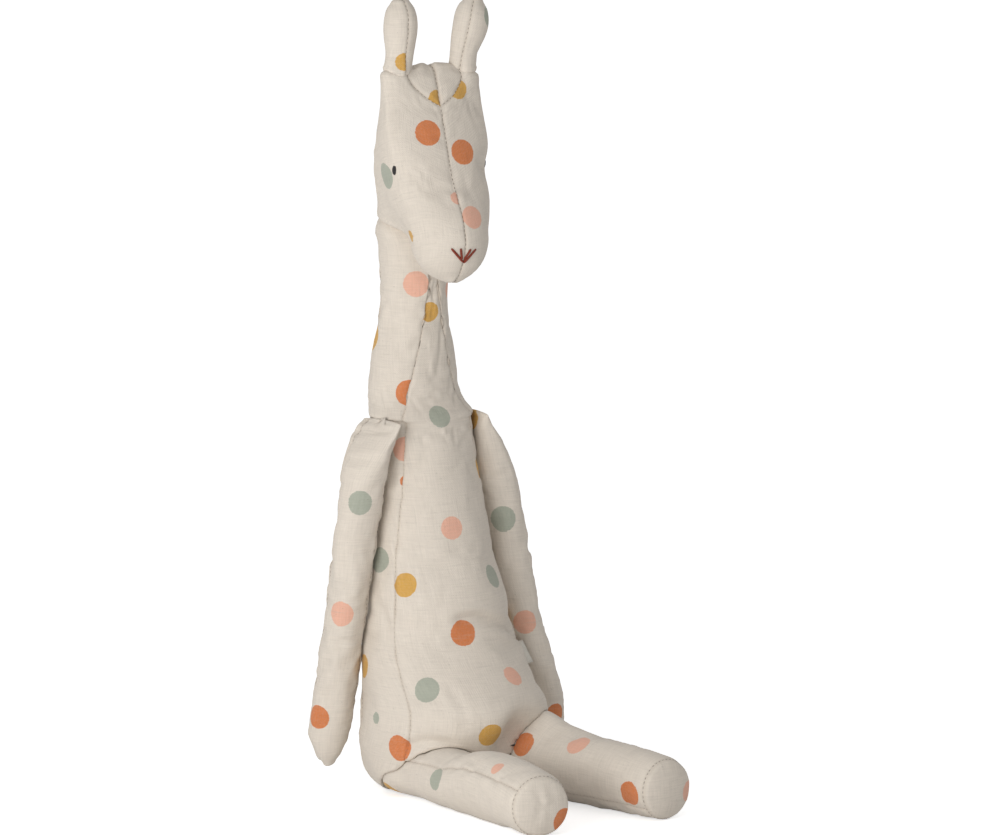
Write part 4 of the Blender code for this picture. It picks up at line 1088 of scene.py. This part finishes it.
def tube(route, normals, radius, sides, flat, taper):
    """Points and faces of a round thread along a route, thinner at its ends."""
    count = len(route)
    points = []
    for k, point in enumerate(route):
        run = unit(route[min(k + 1, count - 1)] - route[max(k - 1, 0)])
        out = unit(normals[k] - run * np.dot(normals[k], run))
        across = np.cross(run, out)
        share = k / (count - 1)
        size = radius * (taper + (1 - taper) * min(1.0, (4 * share * (1 - share)) ** 0.5 * 1.3))
        for turn in np.arange(sides) * 2 * pi / sides:
            points.append(point + size * (across * cos(turn) + out * flat * sin(turn)))
    faces = []
    for k in range(count - 1):
        for s in range(sides):
            n = (s + 1) % sides
            faces.append((k * sides + s, k * sides + n, (k + 1) * sides + n, (k + 1) * sides + s))
    faces.append(tuple(range(sides))[::-1])
    faces.append(tuple((count - 1) * sides + s for s in range(sides)))
    return points, faces


def thread_object(name, tubes, material):
    """One mesh object of several lengths of thread."""
    points, faces = [], []
    for tube_points, tube_faces in tubes:
        faces.extend(tuple(v + len(points) for v in face) for face in tube_faces)
        points.extend(tube_points)
    return new_object(name, points, faces, material)


def stitch_tubes(form, pitch):
    """Sewing thread in the seams: light rungs that hold them, and dark threads of painted shadow between."""
    normals = form.normals()
    rungs, seam_shadow_dashes = [], []
    rng = np.random.default_rng(7)
    for line, _, shows in form.seams:
        route, lift = form.points[line], normals[line]
        lengths = measured(route)
        for along in np.arange(pitch / 2, lengths[-1] - 0.001, pitch):
            along = along + rng.uniform(-0.0002, 0.0002)
            point = sample(along, lengths, route)
            out = unit(sample(along, lengths, lift))
            run = unit(sample(along + 0.0008, lengths, route) - point)
            across = unit(np.cross(out, run)) + run * rng.uniform(-0.3, 0.3)
            if shows > 0.5:
                aside = across * STITCH_HALF_LENGTH
                ends = [point - aside, point + out * 0.0002, point + aside]
                rungs.append(tube(ends, [out] * 3, STITCH_RADIUS, sides=5, flat=1.0, taper=0.6))
            # Painted shadow: a dark thread laid in the seam between stitches, where the needle holes fall in
            # shade
            reach = pitch * rng.uniform(0.20, 0.34) * (0.6 + 0.4 * shows)
            middle = along + pitch / 2
            above = unit(sample(middle, lengths, lift)) * 0.00004
            ends = [sample(middle + reach * share, lengths, route) + above for share in (-1, 0, 1)]
            seam_shadow_dashes.append(tube(ends, [out] * 3, NEEDLE_SHADOW_RADIUS * shows, sides=5, flat=0.7, taper=0.3))
    return rungs, seam_shadow_dashes


def face_route(tree, begin, finish, rise):
    """Points on the head's cloth between two pixels, with the cloth's normals."""
    points, lift = [], []
    for share in np.linspace(0, 1, FACE_STEPS):
        hit, normal = under_pixel(tree, *(np.array(begin) + np.subtract(finish, begin) * share))
        if hit is None:
            raise RuntimeError("a stitch of the face misses the head")
        points.append(hit + normal * rise)
        lift.append(normal)
    return points, lift


def eye_strand(tree, offset, side):
    """One thread of an eye. The left eye mirrors the right one across the turned head, and is laid on it."""
    route, lift = face_route(tree, *EYE_PIXELS, EYE_RISE)
    sideways = np.array((cos(HEAD_TURN), -sin(HEAD_TURN), 0.0))
    behind = turned(NECK_PIVOT + (0.0, 0.0045, 0.0)) - NECK_PIVOT
    line, outs = [], []
    for k, (point, out) in enumerate(zip(route, lift)):
        run = unit(route[min(k + 1, FACE_STEPS - 1)] - route[max(k - 1, 0)])
        share = abs(k / (FACE_STEPS - 1) - 0.5) * 2
        rise = 0.0004 * (1 - share**2) - abs(offset) * 0.25
        point = point + np.cross(run, out) * offset * (1 - 0.45 * share**2) + out * rise
        if side > 0:
            mirrored = point - 2 * np.dot(point - NECK_PIVOT, sideways) * sideways + behind
            hit, out = (np.array(value) for value in tree.find_nearest(Vector(mirrored))[:2])
            point = hit + out * (EYE_RISE + rise)
        line.append(point)
        outs.append(out)
    return tube(line, outs, EYE_RADIUS, sides=8, flat=1.0, taper=0.55)


# Shader maths

class Sum:
    """A shader value that adds, subtracts and multiplies like a number."""

    def __init__(self, finish, socket):
        self.finish = finish
        self.socket = socket

    def maths(self, operation, *others, clamp=False):
        """A Math node on this value and the others."""
        values = dict(enumerate((self, *others)))
        return self.finish.node("ShaderNodeMath", {"operation": operation, "use_clamp": clamp}, values)

    def __add__(self, other):
        return self.maths("ADD", other)

    def __sub__(self, other):
        return self.maths("SUBTRACT", other)

    def __rsub__(self, other):
        return (self * -1.0) + other

    def __mul__(self, other):
        return self.maths("MULTIPLY", other)

    __radd__ = __add__
    __rmul__ = __mul__


class Finish:
    """A material that is being written as nodes."""

    def __init__(self, name):
        self.material = bpy.data.materials.new(name)
        self.material.use_nodes = True
        self.tree = self.material.node_tree
        self.shader = self.tree.nodes["Principled BSDF"]

    def feed(self, socket, value):
        """Links a shader value to a socket, or sets a plain one on it."""
        if isinstance(value, Sum):
            self.tree.links.new(value.socket, socket)
        elif socket.type == "RGBA":
            socket.default_value = (*value, 1.0)
        else:
            socket.default_value = value

    def node(self, kind, settings=None, inputs=None, output=0):
        """Any node: its settings first, then its inputs by name or number."""
        node = self.tree.nodes.new(kind)
        for key, value in (settings or {}).items():
            setattr(node, key, value)
        for key, value in (inputs or {}).items():
            self.feed(node.inputs[key], value)
        return Sum(self, node.outputs[output])

    def mix(self, factor, first, second, blend="MIX"):
        """Two colours mixed."""
        settings = {"data_type": "RGBA", "blend_type": blend}
        return self.node("ShaderNodeMix", settings, {0: factor, 6: first, 7: second}, 2)

    def vector(self, x, y, z=0.0):
        """Three values as a vector."""
        return self.node("ShaderNodeCombineXYZ", None, {0: x, 1: y, 2: z})

    def toned(self, colour, tone):
        """A colour made lighter or darker by a value."""
        return self.mix(1.0, colour, self.vector(tone, tone, tone), "MULTIPLY")

    def noise(self, vector, scale, detail=2.0):
        """Soft noise from 0 to 1."""
        return self.node("ShaderNodeTexNoise", None, {"Vector": vector, "Scale": scale, "Detail": detail})

    def step(self, value, low, high):
        """A soft step from 0 to 1."""
        soft = {"interpolation_type": "SMOOTHSTEP"}
        return self.node("ShaderNodeMapRange", soft, {0: value, 1: low, 2: high})

    def attribute(self, name, output):
        """A value or colour that the mesh carries."""
        return self.node("ShaderNodeAttribute", {"attribute_name": name}, None, output)

    def object_place(self):
        """The place on the piece, in metres."""
        return self.node("ShaderNodeTexCoord", None, None, 3)

    def cloth_place(self):
        """Cloth coordinates in metres, across and along."""
        split = self.node("ShaderNodeSeparateXYZ", None, {0: self.node("ShaderNodeUVMap", {"uv_map": "cloth"})})
        return split, Sum(self, split.socket.node.outputs[1])

    def bump(self, height, distance, strength):
        """A bump that feeds the shader's normal."""
        inputs = {"Height": height, "Distance": distance, "Strength": strength}
        self.set(Normal=self.node("ShaderNodeBump", None, inputs))

    def set(self, **values):
        """Sets or links the shader's inputs, by name with underscores."""
        for key, value in values.items():
            self.feed(self.shader.inputs[key.replace("_", " ")], value)


def linen_finish(name, settings):
    """Slubby woven linen, printed with dots where the mesh says so, with painted shade beside its seams."""
    finish = Finish(name)
    across, along = finish.cloth_place()

    def threads(wide, long, layer, detail=1.0):
        return finish.noise(finish.vector(across * wide, along * long, layer), 1.0, detail)

    waver = finish.noise(finish.vector(across, along), 90.0, 1.0) * 0.0006
    turn = 2 * pi / settings.weave_pitch
    weft = threads(70.0, 1150.0, 0.0, 2.0)
    warp = threads(1150.0, 70.0, 9.0, 2.0)
    thick_weft = finish.step(threads(45.0, 620.0, 3.0), 0.60, 0.74)
    thick_warp = finish.step(threads(620.0, 45.0, 5.0), 0.62, 0.76)
    weave = ((across + waver) * turn).maths("SINE") * ((along + waver) * turn).maths("SINE")
    cloud = finish.noise(finish.vector(across, along, 2.0), 26.0)
    fleck = finish.step(threads(420.0, 900.0, 11.0), 0.68, 0.78)
    fleck = fleck + finish.step(threads(900.0, 420.0, 13.0), 0.69, 0.79)
    tone = (
        1.0
        + (weft - 0.5) * settings.slub
        + (warp - 0.5) * settings.slub
        - (thick_weft + thick_warp) * settings.slub * 0.20
        + weave * 0.018
        + (cloud - 0.5) * 0.08
        - fleck * 0.13
    )
    rough = finish.noise(finish.vector(across, along, 7.0), 700.0, 1.0)
    ragged = finish.attribute("dot_edge", 2) + (rough - 0.5) * 0.0007 + (weft - 0.5) * 0.0005
    inside = finish.step(ragged, 0.00022, -0.00022) * (0.97 - thick_weft * 0.10 - (rough - 0.5) * 0.25)
    printed = inside.maths("MAXIMUM", 0.0, clamp=True)
    colour = finish.mix(printed, settings.linen, finish.attribute("dot_ink", 0))
    # Painted shade: the linen is darkened towards LINEN_SHADE beside its seams, where shade falls in the groove
    colour = finish.mix(finish.attribute("near_seam", 2) * 0.35, colour, LINEN_SHADE, "MULTIPLY")
    finish.set(Base_Color=finish.toned(colour, tone))
    finish.set(Roughness=0.80 + (rough - 0.5) * 0.18 + (weft - 0.5) * 0.08)
    finish.set(Sheen_Weight=0.12, Sheen_Roughness=0.5, Specular_IOR_Level=0.25)
    height = weave * 0.32 + weft * 0.55 + warp * 0.55 + (thick_weft + thick_warp) * 0.35
    finish.bump(height, 0.00028, settings.weave_bump)
    return finish.material


def thread_finish(name, colour, sheen):
    """Twisted thread, with fibres that run round it."""
    finish = Finish(name)
    place = finish.object_place()
    fibre = finish.noise(place, 2600.0)
    bands = {"wave_type": "BANDS", "bands_direction": "DIAGONAL"}
    twist = {"Vector": place, "Scale": 900.0, "Distortion": 2.0, "Detail": 1.0}
    strand = finish.node("ShaderNodeTexWave", bands, twist, 1)
    dark = tuple(channel * 0.72 for channel in colour)
    finish.set(Base_Color=finish.mix(fibre * 0.5 + strand * 0.4, dark, colour))
    finish.set(Roughness=0.42 + fibre * 0.3, Specular_IOR_Level=0.4, Sheen_Weight=sheen)
    finish.bump(strand * 0.7 + fibre * 0.3, 0.00012, 0.8)
    return finish.material


def tape_finish(name, colour):
    """Woven cotton tape with fine ribs."""
    finish = Finish(name)
    across, along = finish.cloth_place()
    ribs = (along * (2 * pi / 0.00055)).maths("SINE")
    threads = (across * (2 * pi / 0.0004)).maths("SINE")
    fibre = finish.noise(finish.vector(across * 300.0, along * 2200.0), 1.0)
    finish.set(Base_Color=finish.toned(colour, 0.97 + ribs * 0.03 + (fibre - 0.5) * 0.10))
    finish.set(Roughness=0.62 + fibre * 0.2, Sheen_Weight=0.1)
    finish.bump(ribs * 0.5 + threads * 0.3 + fibre * 0.4, 0.00012, 0.8)
    return finish.material


def floor_finish(name):
    """A plain pale floor, which the camera sees as near white."""
    finish = Finish(name)
    grain = finish.noise(finish.object_place(), 40.0)
    finish.set(Base_Color=finish.toned(FLOOR, 0.985 + grain * 0.03), Roughness=0.9)
    seen, *others = (finish.node("ShaderNodeLightPath", None, None, ray) for ray in WHITE_RAYS)
    for other in others:
        seen = seen.maths("MAXIMUM", other)
    glow = finish.mix(seen, (0.0, 0.0, 0.0), (1.0, 1.0, 1.0))
    finish.set(Emission_Color=glow, Emission_Strength=FLOOR_GLOW)
    return finish.material


# Printed dots

def seen_points(form, trees):
    """A search tree of the form's points that the camera sees."""
    shown = []
    for point, normal in zip(form.points, form.normals()):
        if normal @ VIEW_BACK > 0.02:
            start = Vector(point + normal * 0.0015 + VIEW_BACK * 0.0005)
            if all(tree.ray_cast(start, Vector(VIEW_BACK), 0.5)[0] is None for tree in trees):
                shown.append(point)
    return spot_tree(shown)


def shown_dots(form, inks):
    """Dots that the photograph shows: centre on the cloth, colour, size, and the panel if one cuts it."""
    tree = form.tree()
    return [
        (nearest_to_pixel(tree, column, row), inks[ink], size, panel[0] if panel else None)
        for column, row, ink, size, *panel in DOT_PIXELS[form.name]
    ]


def hidden_dots(form, dots, seen, inks):
    """Dots of the sides that the photograph doesn't show, spaced like the others."""
    order = np.random.default_rng(DOT_SEED + sum(map(ord, form.name))).permutation(len(form.points))
    taken = [dot[0] for dot in dots]
    colours = list(inks.values())
    made = []
    for spot in form.points[order]:
        clear = seen.find(Vector(spot))[2] >= DOT_CLEARANCE
        if clear and all(np.linalg.norm(spot - other) > DOT_SPACING for other in taken):
            taken.append(spot)
            made.append((spot, colours[len(made) % len(colours)], HIDDEN_DOT_SHARE, None))
    return made


def print_dots(form, dots, settings):
    """Writes how far each face corner lies from the edge of the nearest dot, and that dot's ink."""
    corners = np.concatenate([np.array(face) for face in form.faces])
    owners = np.repeat([panel for panel, _ in form.owners], [len(face) for face in form.faces])
    edge = np.full(len(corners), 0.02)
    ink = np.tile(np.array((*settings.linen, 1.0)), (len(corners), 1))
    for number, (centre, colour, size, panel) in enumerate(dots):
        wobble = 1 + 0.035 * sin(number * 2.1)
        gap = np.linalg.norm(form.points - centre, axis=1)[corners] - settings.dot_radius * size * wobble
        closer = (gap < edge) & (panel is None or owners == panel)
        edge[closer] = gap[closer]
        ink[closer] = (*colour, 1.0)
    attributes = bpy.data.objects[f"{form.name}_cloth"].data.attributes
    attributes.new("dot_edge", "FLOAT", "CORNER").data.foreach_set("value", edge.astype(np.float32))
    attributes.new("dot_ink", "FLOAT_COLOR", "CORNER").data.foreach_set("color", ink.astype(np.float32).ravel())


# The add-on

def setting(name, description, default, **kind):
    """A number in the sidebar."""
    return bpy.props.FloatProperty(name=name, description=description, default=default, **kind)


def length(name, description, default):
    """A length in metres."""
    return setting(name, description, default, subtype="DISTANCE", unit="LENGTH")


def power(name, description, default):
    """A power in watts."""
    return setting(name, description, default, subtype="POWER", unit="POWER")


def colour(name, description, default):
    """A linear colour."""
    kind = {"size": 3, "min": 0.0, "max": 1.0, "subtype": "COLOR"}
    return bpy.props.FloatVectorProperty(name=name, description=description, default=default, **kind)


class GiraffeSettings(bpy.types.PropertyGroup):
    """How the cloth is coloured, woven, sewn, swollen and lit."""

    linen: colour("Linen", "Colour of the bare linen", LINEN)
    orange: colour("Orange", "Colour of the orange dots", INKS["orange"])
    mustard: colour("Mustard", "Colour of the mustard dots", INKS["mustard"])
    sage: colour("Sage", "Colour of the sage dots", INKS["sage"])
    pink: colour("Pink", "Colour of the pink dots", INKS["pink"])
    thread: colour("Thread", "Colour of the sewing thread", SEWING_THREAD)
    mouth: colour("Mouth", "Colour of the mouth's embroidery", MOUTH_THREAD)
    tape: colour("Tape", "Colour of the label's tape", TAPE)
    weave_pitch: length("Weave pitch", "Width of one repeat of the weave", 0.0012)
    weave_bump: setting("Weave relief", "Strength of the threads' relief", 0.55)
    slub: setting("Slubs", "How uneven the threads' tone is", 0.20)
    dot_radius: length("Dot radius", "Radius of a printed dot", 0.0083)
    seam_depth: length("Seam depth", "How far a seam is drawn in", 0.0008)
    seam_width: length("Seam width", "Half width of the dip at a seam", 0.0016)
    pucker: length("Pucker", "Height of the puckers beside a seam", 0.00075)
    stitch_pitch: length("Stitch pitch", "Distance between stitches", 0.0030)
    crease: length("Creases", "Depth of the soft creases", 0.0007)
    pressure: setting("Pressure", "Pressure of the stuffing on the cloth", 4.0)
    frames: bpy.props.IntProperty(name="Frames", description="Length of the cloth simulation", default=20)
    key_power: power("Key light", "Power of the large soft light", 9.8)
    fill_power: power("Fill light", "Power of the light from the other side", 0.3)
    ambient: setting("Ambient", "Strength of the surrounding light", 0.52)


class GIRAFFE_OT_materials(bpy.types.Operator):
    """Makes the linen, threads, tape and floor, and the dark thread of painted shadow in the seams"""

    bl_idname = "giraffe.materials"
    bl_label = "Make materials"
    bl_options = {"REGISTER", "UNDO"}

    def execute(self, context):
        settings = context.scene.giraffe
        materials.update(
            printed_linen=linen_finish("printed_linen", settings),
            sewing_thread=thread_finish("sewing_thread", settings.thread, sheen=0.1),
            # The dark thread that is painted shadow in the seams
            seam_shadow=thread_finish("seam_shadow", SEAM_SHADOW, sheen=0.0),
            eye_thread=thread_finish("eye_floss", EYE_THREAD, sheen=0.0),
            mouth_thread=thread_finish("mouth_floss", settings.mouth, sheen=0.0),
            tape=tape_finish("cotton_tape", settings.tape),
            floor=floor_finish("pale_floor"),
        )
        return {"FINISHED"}


class GIRAFFE_OT_legs(bpy.types.Operator):
    """Shapes the legs, with thighs that swell beside the belly and flat soles"""

    bl_idname = "giraffe.legs"
    bl_label = "Shape legs"
    bl_options = {"REGISTER", "UNDO"}

    def execute(self, context):
        settings = context.scene.giraffe
        for hand, side, *shape in LEGS:
            form = leg_form(hand, side, *shape)
            swell(form, settings, growth=0.006, limit=0.0016, loose=range(form.kept_rows[1]))
            nudge(form)
            crumple(form, seed=3 + side, count=60, depth=settings.crease * 0.8, last=16)
            displace_along_seams(form, settings, pucker=0.6)
            fold(form)
            forms[form.name] = form
        return {"FINISHED"}


class GIRAFFE_OT_torso(bpy.types.Operator):
    """Shapes the body and neck, which rest on the thighs, and makes the legs, whose cloth runs into it"""

    bl_idname = "giraffe.torso"
    bl_label = "Shape body and neck"
    bl_options = {"REGISTER", "UNDO"}

    def execute(self, context):
        settings = context.scene.giraffe
        form = body_form()
        loose = range(form.kept_rows[1] + 1, form.count - NECK_CAP_ROWS)
        swell(form, settings, growth=0.006, limit=0.0022, loose=loose)
        nudge(form)
        overhang(form)
        crumple(form, seed=8, count=150, depth=settings.crease)
        displace_along_seams(form, settings)
        fold(form)
        legs = [forms["leg_right"], forms["leg_left"]]
        rest_on_legs(form, legs)
        body_tree = form.tree()
        for leg in legs:
            leg_tree = leg.tree()
            melt(form, leg_tree, hip_reach)
            melt(leg, body_tree, hip_reach)
            cloth_object(leg)
        forms["torso"] = form
        return {"FINISHED"}


class GIRAFFE_OT_head(bpy.types.Operator):
    """Makes the body, head and ears, and melts the nape into the neck and the ears into the crown"""

    bl_idname = "giraffe.head"
    bl_label = "Make body, head and ears"
    bl_options = {"REGISTER", "UNDO"}

    def execute(self, context):
        settings = context.scene.giraffe
        head = head_form()
        swell(head, settings, growth=0.006, limit=0.0016, loose=range(head.count))
        nudge(head)
        crumple(head, seed=5, count=50, depth=settings.crease * 0.7)
        displace_along_seams(head, settings)
        torso = forms["torso"]
        head_tree, torso_tree = head.tree(), torso.tree()
        melt(head, torso_tree, nape_reach)
        melt(torso, head_tree, nape_reach)
        cloth_object(torso)
        ears = []
        for hand, side, *shape in EARS:
            form = ear_form(hand, side, *shape)
            nudge(form)
            crumple(form, seed=20 + side, count=8, depth=settings.crease * 0.5)
            displace_along_seams(form, settings, pucker=0.6)
            ears.append(form)
        head_tree = head.tree()
        for ear, tree in [(ear, ear.tree()) for ear in ears]:
            melt(ear, head_tree, ear_reach, passes=5)
            melt(head, tree, ear_reach, passes=5)
            cloth_object(ear)
        cloth_object(head)
        return {"FINISHED"}


class GIRAFFE_OT_arms(bpy.types.Operator):
    """Makes the arms, hanging from the shoulder seams against the body"""

    bl_idname = "giraffe.arms"
    bl_label = "Make arms"
    bl_options = {"REGISTER", "UNDO"}

    def execute(self, context):
        settings = context.scene.giraffe
        body = forms["torso"].tree()
        for hand, side, *shape in ARMS:
            form = arm_form(hand, side, *shape)
            swell(form, settings, growth=0.008, limit=0.0014, loose=range(5, form.count))
            nudge(form)
            crumple(form, seed=30 + side, count=60, depth=settings.crease, first=22)
            displace_along_seams(form, settings)
            fold(form)
            keep_clear(form, body, SEAT_GAP)
            cloth_object(form)
        return {"FINISHED"}


class GIRAFFE_OT_print(bpy.types.Operator):
    """Prints the dots on every piece of linen"""

    bl_idname = "giraffe.print_dots"
    bl_label = "Print dots"
    bl_options = {"REGISTER", "UNDO"}

    def execute(self, context):
        settings = context.scene.giraffe
        inks = {name: tuple(getattr(settings, name)) for name in INKS}
        trees = [form.tree() for form in forms.values()]
        for form in forms.values():
            dots = shown_dots(form, inks)
            dots += hidden_dots(form, dots, seen_points(form, trees), inks)
            print_dots(form, dots, settings)
        return {"FINISHED"}


class GIRAFFE_OT_stitches(bpy.types.Operator):
    """Sews the seams, with dark threads of painted shadow between the stitches"""

    bl_idname = "giraffe.stitches"
    bl_label = "Sew seams"
    bl_options = {"REGISTER", "UNDO"}

    def execute(self, context):
        for name, form in forms.items():
            rungs, seam_shadow_dashes = stitch_tubes(form, context.scene.giraffe.stitch_pitch)
            attach(thread_object(f"{name}_stitches", rungs, "sewing_thread"), form)
            # The dark threads between stitches are painted shadow in the seams
            attach(thread_object(f"{name}_needle_marks", seam_shadow_dashes, "seam_shadow"), form)
        return {"FINISHED"}


class GIRAFFE_OT_face(bpy.types.Operator):
    """Embroiders the mouth and the eyes"""

    bl_idname = "giraffe.face"
    bl_label = "Embroider face"
    bl_options = {"REGISTER", "UNDO"}

    def execute(self, context):
        tree = forms["head"].tree()
        for name, (begin, finish, node) in MOUTH_PIXELS.items():
            route, lift = face_route(tree, begin, finish, MOUTH_RISE)
            strand = tube(route, lift, MOUTH_RADIUS, sides=10, flat=0.8, taper=0.7)
            piece = thread_object(name, [strand], "mouth_thread")
            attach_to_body(piece, "head")
            if node:
                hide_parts(node)
        for side, hand in ((-1, "right"), (1, "left")):
            strands = [eye_strand(tree, offset, side) for offset in EYE_OFFSETS]
            piece = thread_object(f"eye_{hand}_floss", strands, "eye_thread")
            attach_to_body(piece, "head")
            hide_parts(f"eye_{hand}")
        return {"FINISHED"}


class GIRAFFE_OT_label(bpy.types.Operator):
    """Makes the bare folded tape in the left side seam"""

    bl_idname = "giraffe.label"
    bl_label = "Make label"
    bl_options = {"REGISTER", "UNDO"}

    def execute(self, context):
        form = forms["torso"]
        line = form.seams[0][0]
        seam, outs = form.points[line], form.normals()[line]
        height = BODY_HEIGHT * LABEL_HEIGHT_SHARE
        root = sample(height, seam[:, 2], seam)
        run = unit(sample(height + 0.006, seam[:, 2], seam) - sample(height - 0.006, seam[:, 2], seam))
        out = unit(sample(height, seam[:, 2], outs) * (1, 1, 0))
        out = unit(out - run * np.dot(out, run))
        round_it = np.cross(run, out)
        points, uvs = [], []
        rows, columns = 9, 15
        for share in np.linspace(-0.5, 0.5, rows):
            for turn in np.linspace(-1, 1, columns):
                reach = cos(turn * pi / 2) ** 0.35 if abs(turn) < 1 else 0.0
                gap = LABEL_THICKNESS * 0.5 * sin(turn * pi / 2) * (0.7 + 0.5 * reach)
                bend = 0.0011 * reach**2 * (1 + 0.6 * share)
                base = root + run * LABEL_HEIGHT * share
                points.append(base + out * ((LABEL_REACH - 0.001) * reach - 0.0010) + round_it * (gap + bend))
                uvs.append((turn * LABEL_REACH, LABEL_HEIGHT * share))
        piece = new_object("side_label", points, sheet_faces(rows, columns), "tape")
        layer = piece.data.uv_layers.new(name="cloth")
        for loop in piece.data.loops:
            layer.data[loop.index].uv = uvs[loop.vertex_index]
        thick = piece.modifiers.new("thickness", "SOLIDIFY")
        thick.thickness = 0.00028
        thick.offset = 0.0
        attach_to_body(piece, "torso")
        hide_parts("label_tag")
        return {"FINISHED"}


class GIRAFFE_OT_stage(bpy.types.Operator):
    """Sets the floor, the lights, the surroundings and the camera"""

    bl_idname = "giraffe.stage"
    bl_label = "Set stage"
    bl_options = {"REGISTER", "UNDO"}

    def execute(self, context):
        settings = context.scene.giraffe
        scene = context.scene
        size, count = 6.0, 13
        grid = np.linspace(-size, size, count)
        points = [(x, y, 0.0) for y in grid for x in grid]
        new_object("floor", points, sheet_faces(count, count), "floor")
        ahead = unit(VIEW_BACK * (1, 1, 0))
        for name, (forward, across, rise, width) in LAMPS.items():
            place = VIEW_TARGET + ahead * forward + VIEW_RIGHT * across + (0, 0, rise)
            self.lamp(name, place, width, getattr(settings, f"{name}_power"))
        self.surroundings(scene, settings.ambient)
        camera = bpy.data.cameras.new("camera")
        camera.sensor_width = SENSOR_WIDTH
        camera.lens = SENSOR_WIDTH * VIEW_DISTANCE / (PHOTO_WIDTH * VIEW_SCALE)
        camera.clip_end = 60.0
        scene.camera = self.aimed("camera", camera, VIEW_TARGET + VIEW_BACK * VIEW_DISTANCE)
        scene.view_settings.view_transform = "Standard"
        return {"FINISHED"}

    @staticmethod
    def aimed(name, data, place):
        """A camera or light that looks at the giraffe."""
        thing = bpy.data.objects.new(name, data)
        bpy.context.scene.collection.objects.link(thing)
        thing.location = place
        thing.rotation_euler = Vector(VIEW_TARGET - place).to_track_quat("-Z", "Y").to_euler()
        return thing

    def lamp(self, name, place, size, power):
        """One large soft light."""
        light = bpy.data.lights.new(name, "AREA")
        light.shape = "DISK"
        light.size = size
        light.energy = power
        self.aimed(name, light, place)

    @staticmethod
    def surroundings(scene, ambient):
        """Even light from all round, seen as plain white."""
        world = bpy.data.worlds.new("surroundings")
        world.use_nodes = True
        scene.world = world
        tree = world.node_tree
        sky = tree.nodes["Background"]
        path = tree.nodes.new("ShaderNodeLightPath")
        seen = path.outputs[WHITE_RAYS[0]]
        for ray in WHITE_RAYS[1:]:
            either = tree.nodes.new("ShaderNodeMath")
            either.operation = "MAXIMUM"
            tree.links.new(seen, either.inputs[0])
            tree.links.new(path.outputs[ray], either.inputs[1])
            seen = either.outputs[0]
        level = tree.nodes.new("ShaderNodeMapRange")
        tree.links.new(seen, level.inputs[0])
        level.inputs[3].default_value = ambient
        level.inputs[4].default_value = 1.0
        tree.links.new(level.outputs[0], sky.inputs["Strength"])
        sky.inputs["Color"].default_value = (1.0, 1.0, 1.0, 1.0)


STEPS = (
    GIRAFFE_OT_materials,
    GIRAFFE_OT_legs,
    GIRAFFE_OT_torso,
    GIRAFFE_OT_head,
    GIRAFFE_OT_arms,
    GIRAFFE_OT_print,
    GIRAFFE_OT_stitches,
    GIRAFFE_OT_face,
    GIRAFFE_OT_label,
    GIRAFFE_OT_stage,
)


class GIRAFFE_PT_sidebar(bpy.types.Panel):
    """The giraffe's settings and steps in the sidebar"""

    bl_label = "Plush giraffe"
    bl_idname = "GIRAFFE_PT_sidebar"
    bl_space_type = "VIEW_3D"
    bl_region_type = "UI"
    bl_category = "Giraffe"

    def draw(self, context):
        for name in GiraffeSettings.__annotations__:
            self.layout.prop(context.scene.giraffe, name)
        for step in STEPS:
            self.layout.operator(step.bl_idname)


def register():
    """Registers the settings, the steps and the sidebar panel."""
    for part in (GiraffeSettings, *STEPS, GIRAFFE_PT_sidebar):
        bpy.utils.register_class(part)
    bpy.types.Scene.giraffe = bpy.props.PointerProperty(type=GiraffeSettings)


def unregister():
    """Takes the add-on away again."""
    del bpy.types.Scene.giraffe
    for part in (GIRAFFE_PT_sidebar, *reversed(STEPS), GiraffeSettings):
        bpy.utils.unregister_class(part)


def main():
    """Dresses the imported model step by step."""
    register()
    for step in STEPS:
        group, name = step.bl_idname.split(".")
        getattr(getattr(bpy.ops, group), name)()


if __name__ == "__main__":
    main()
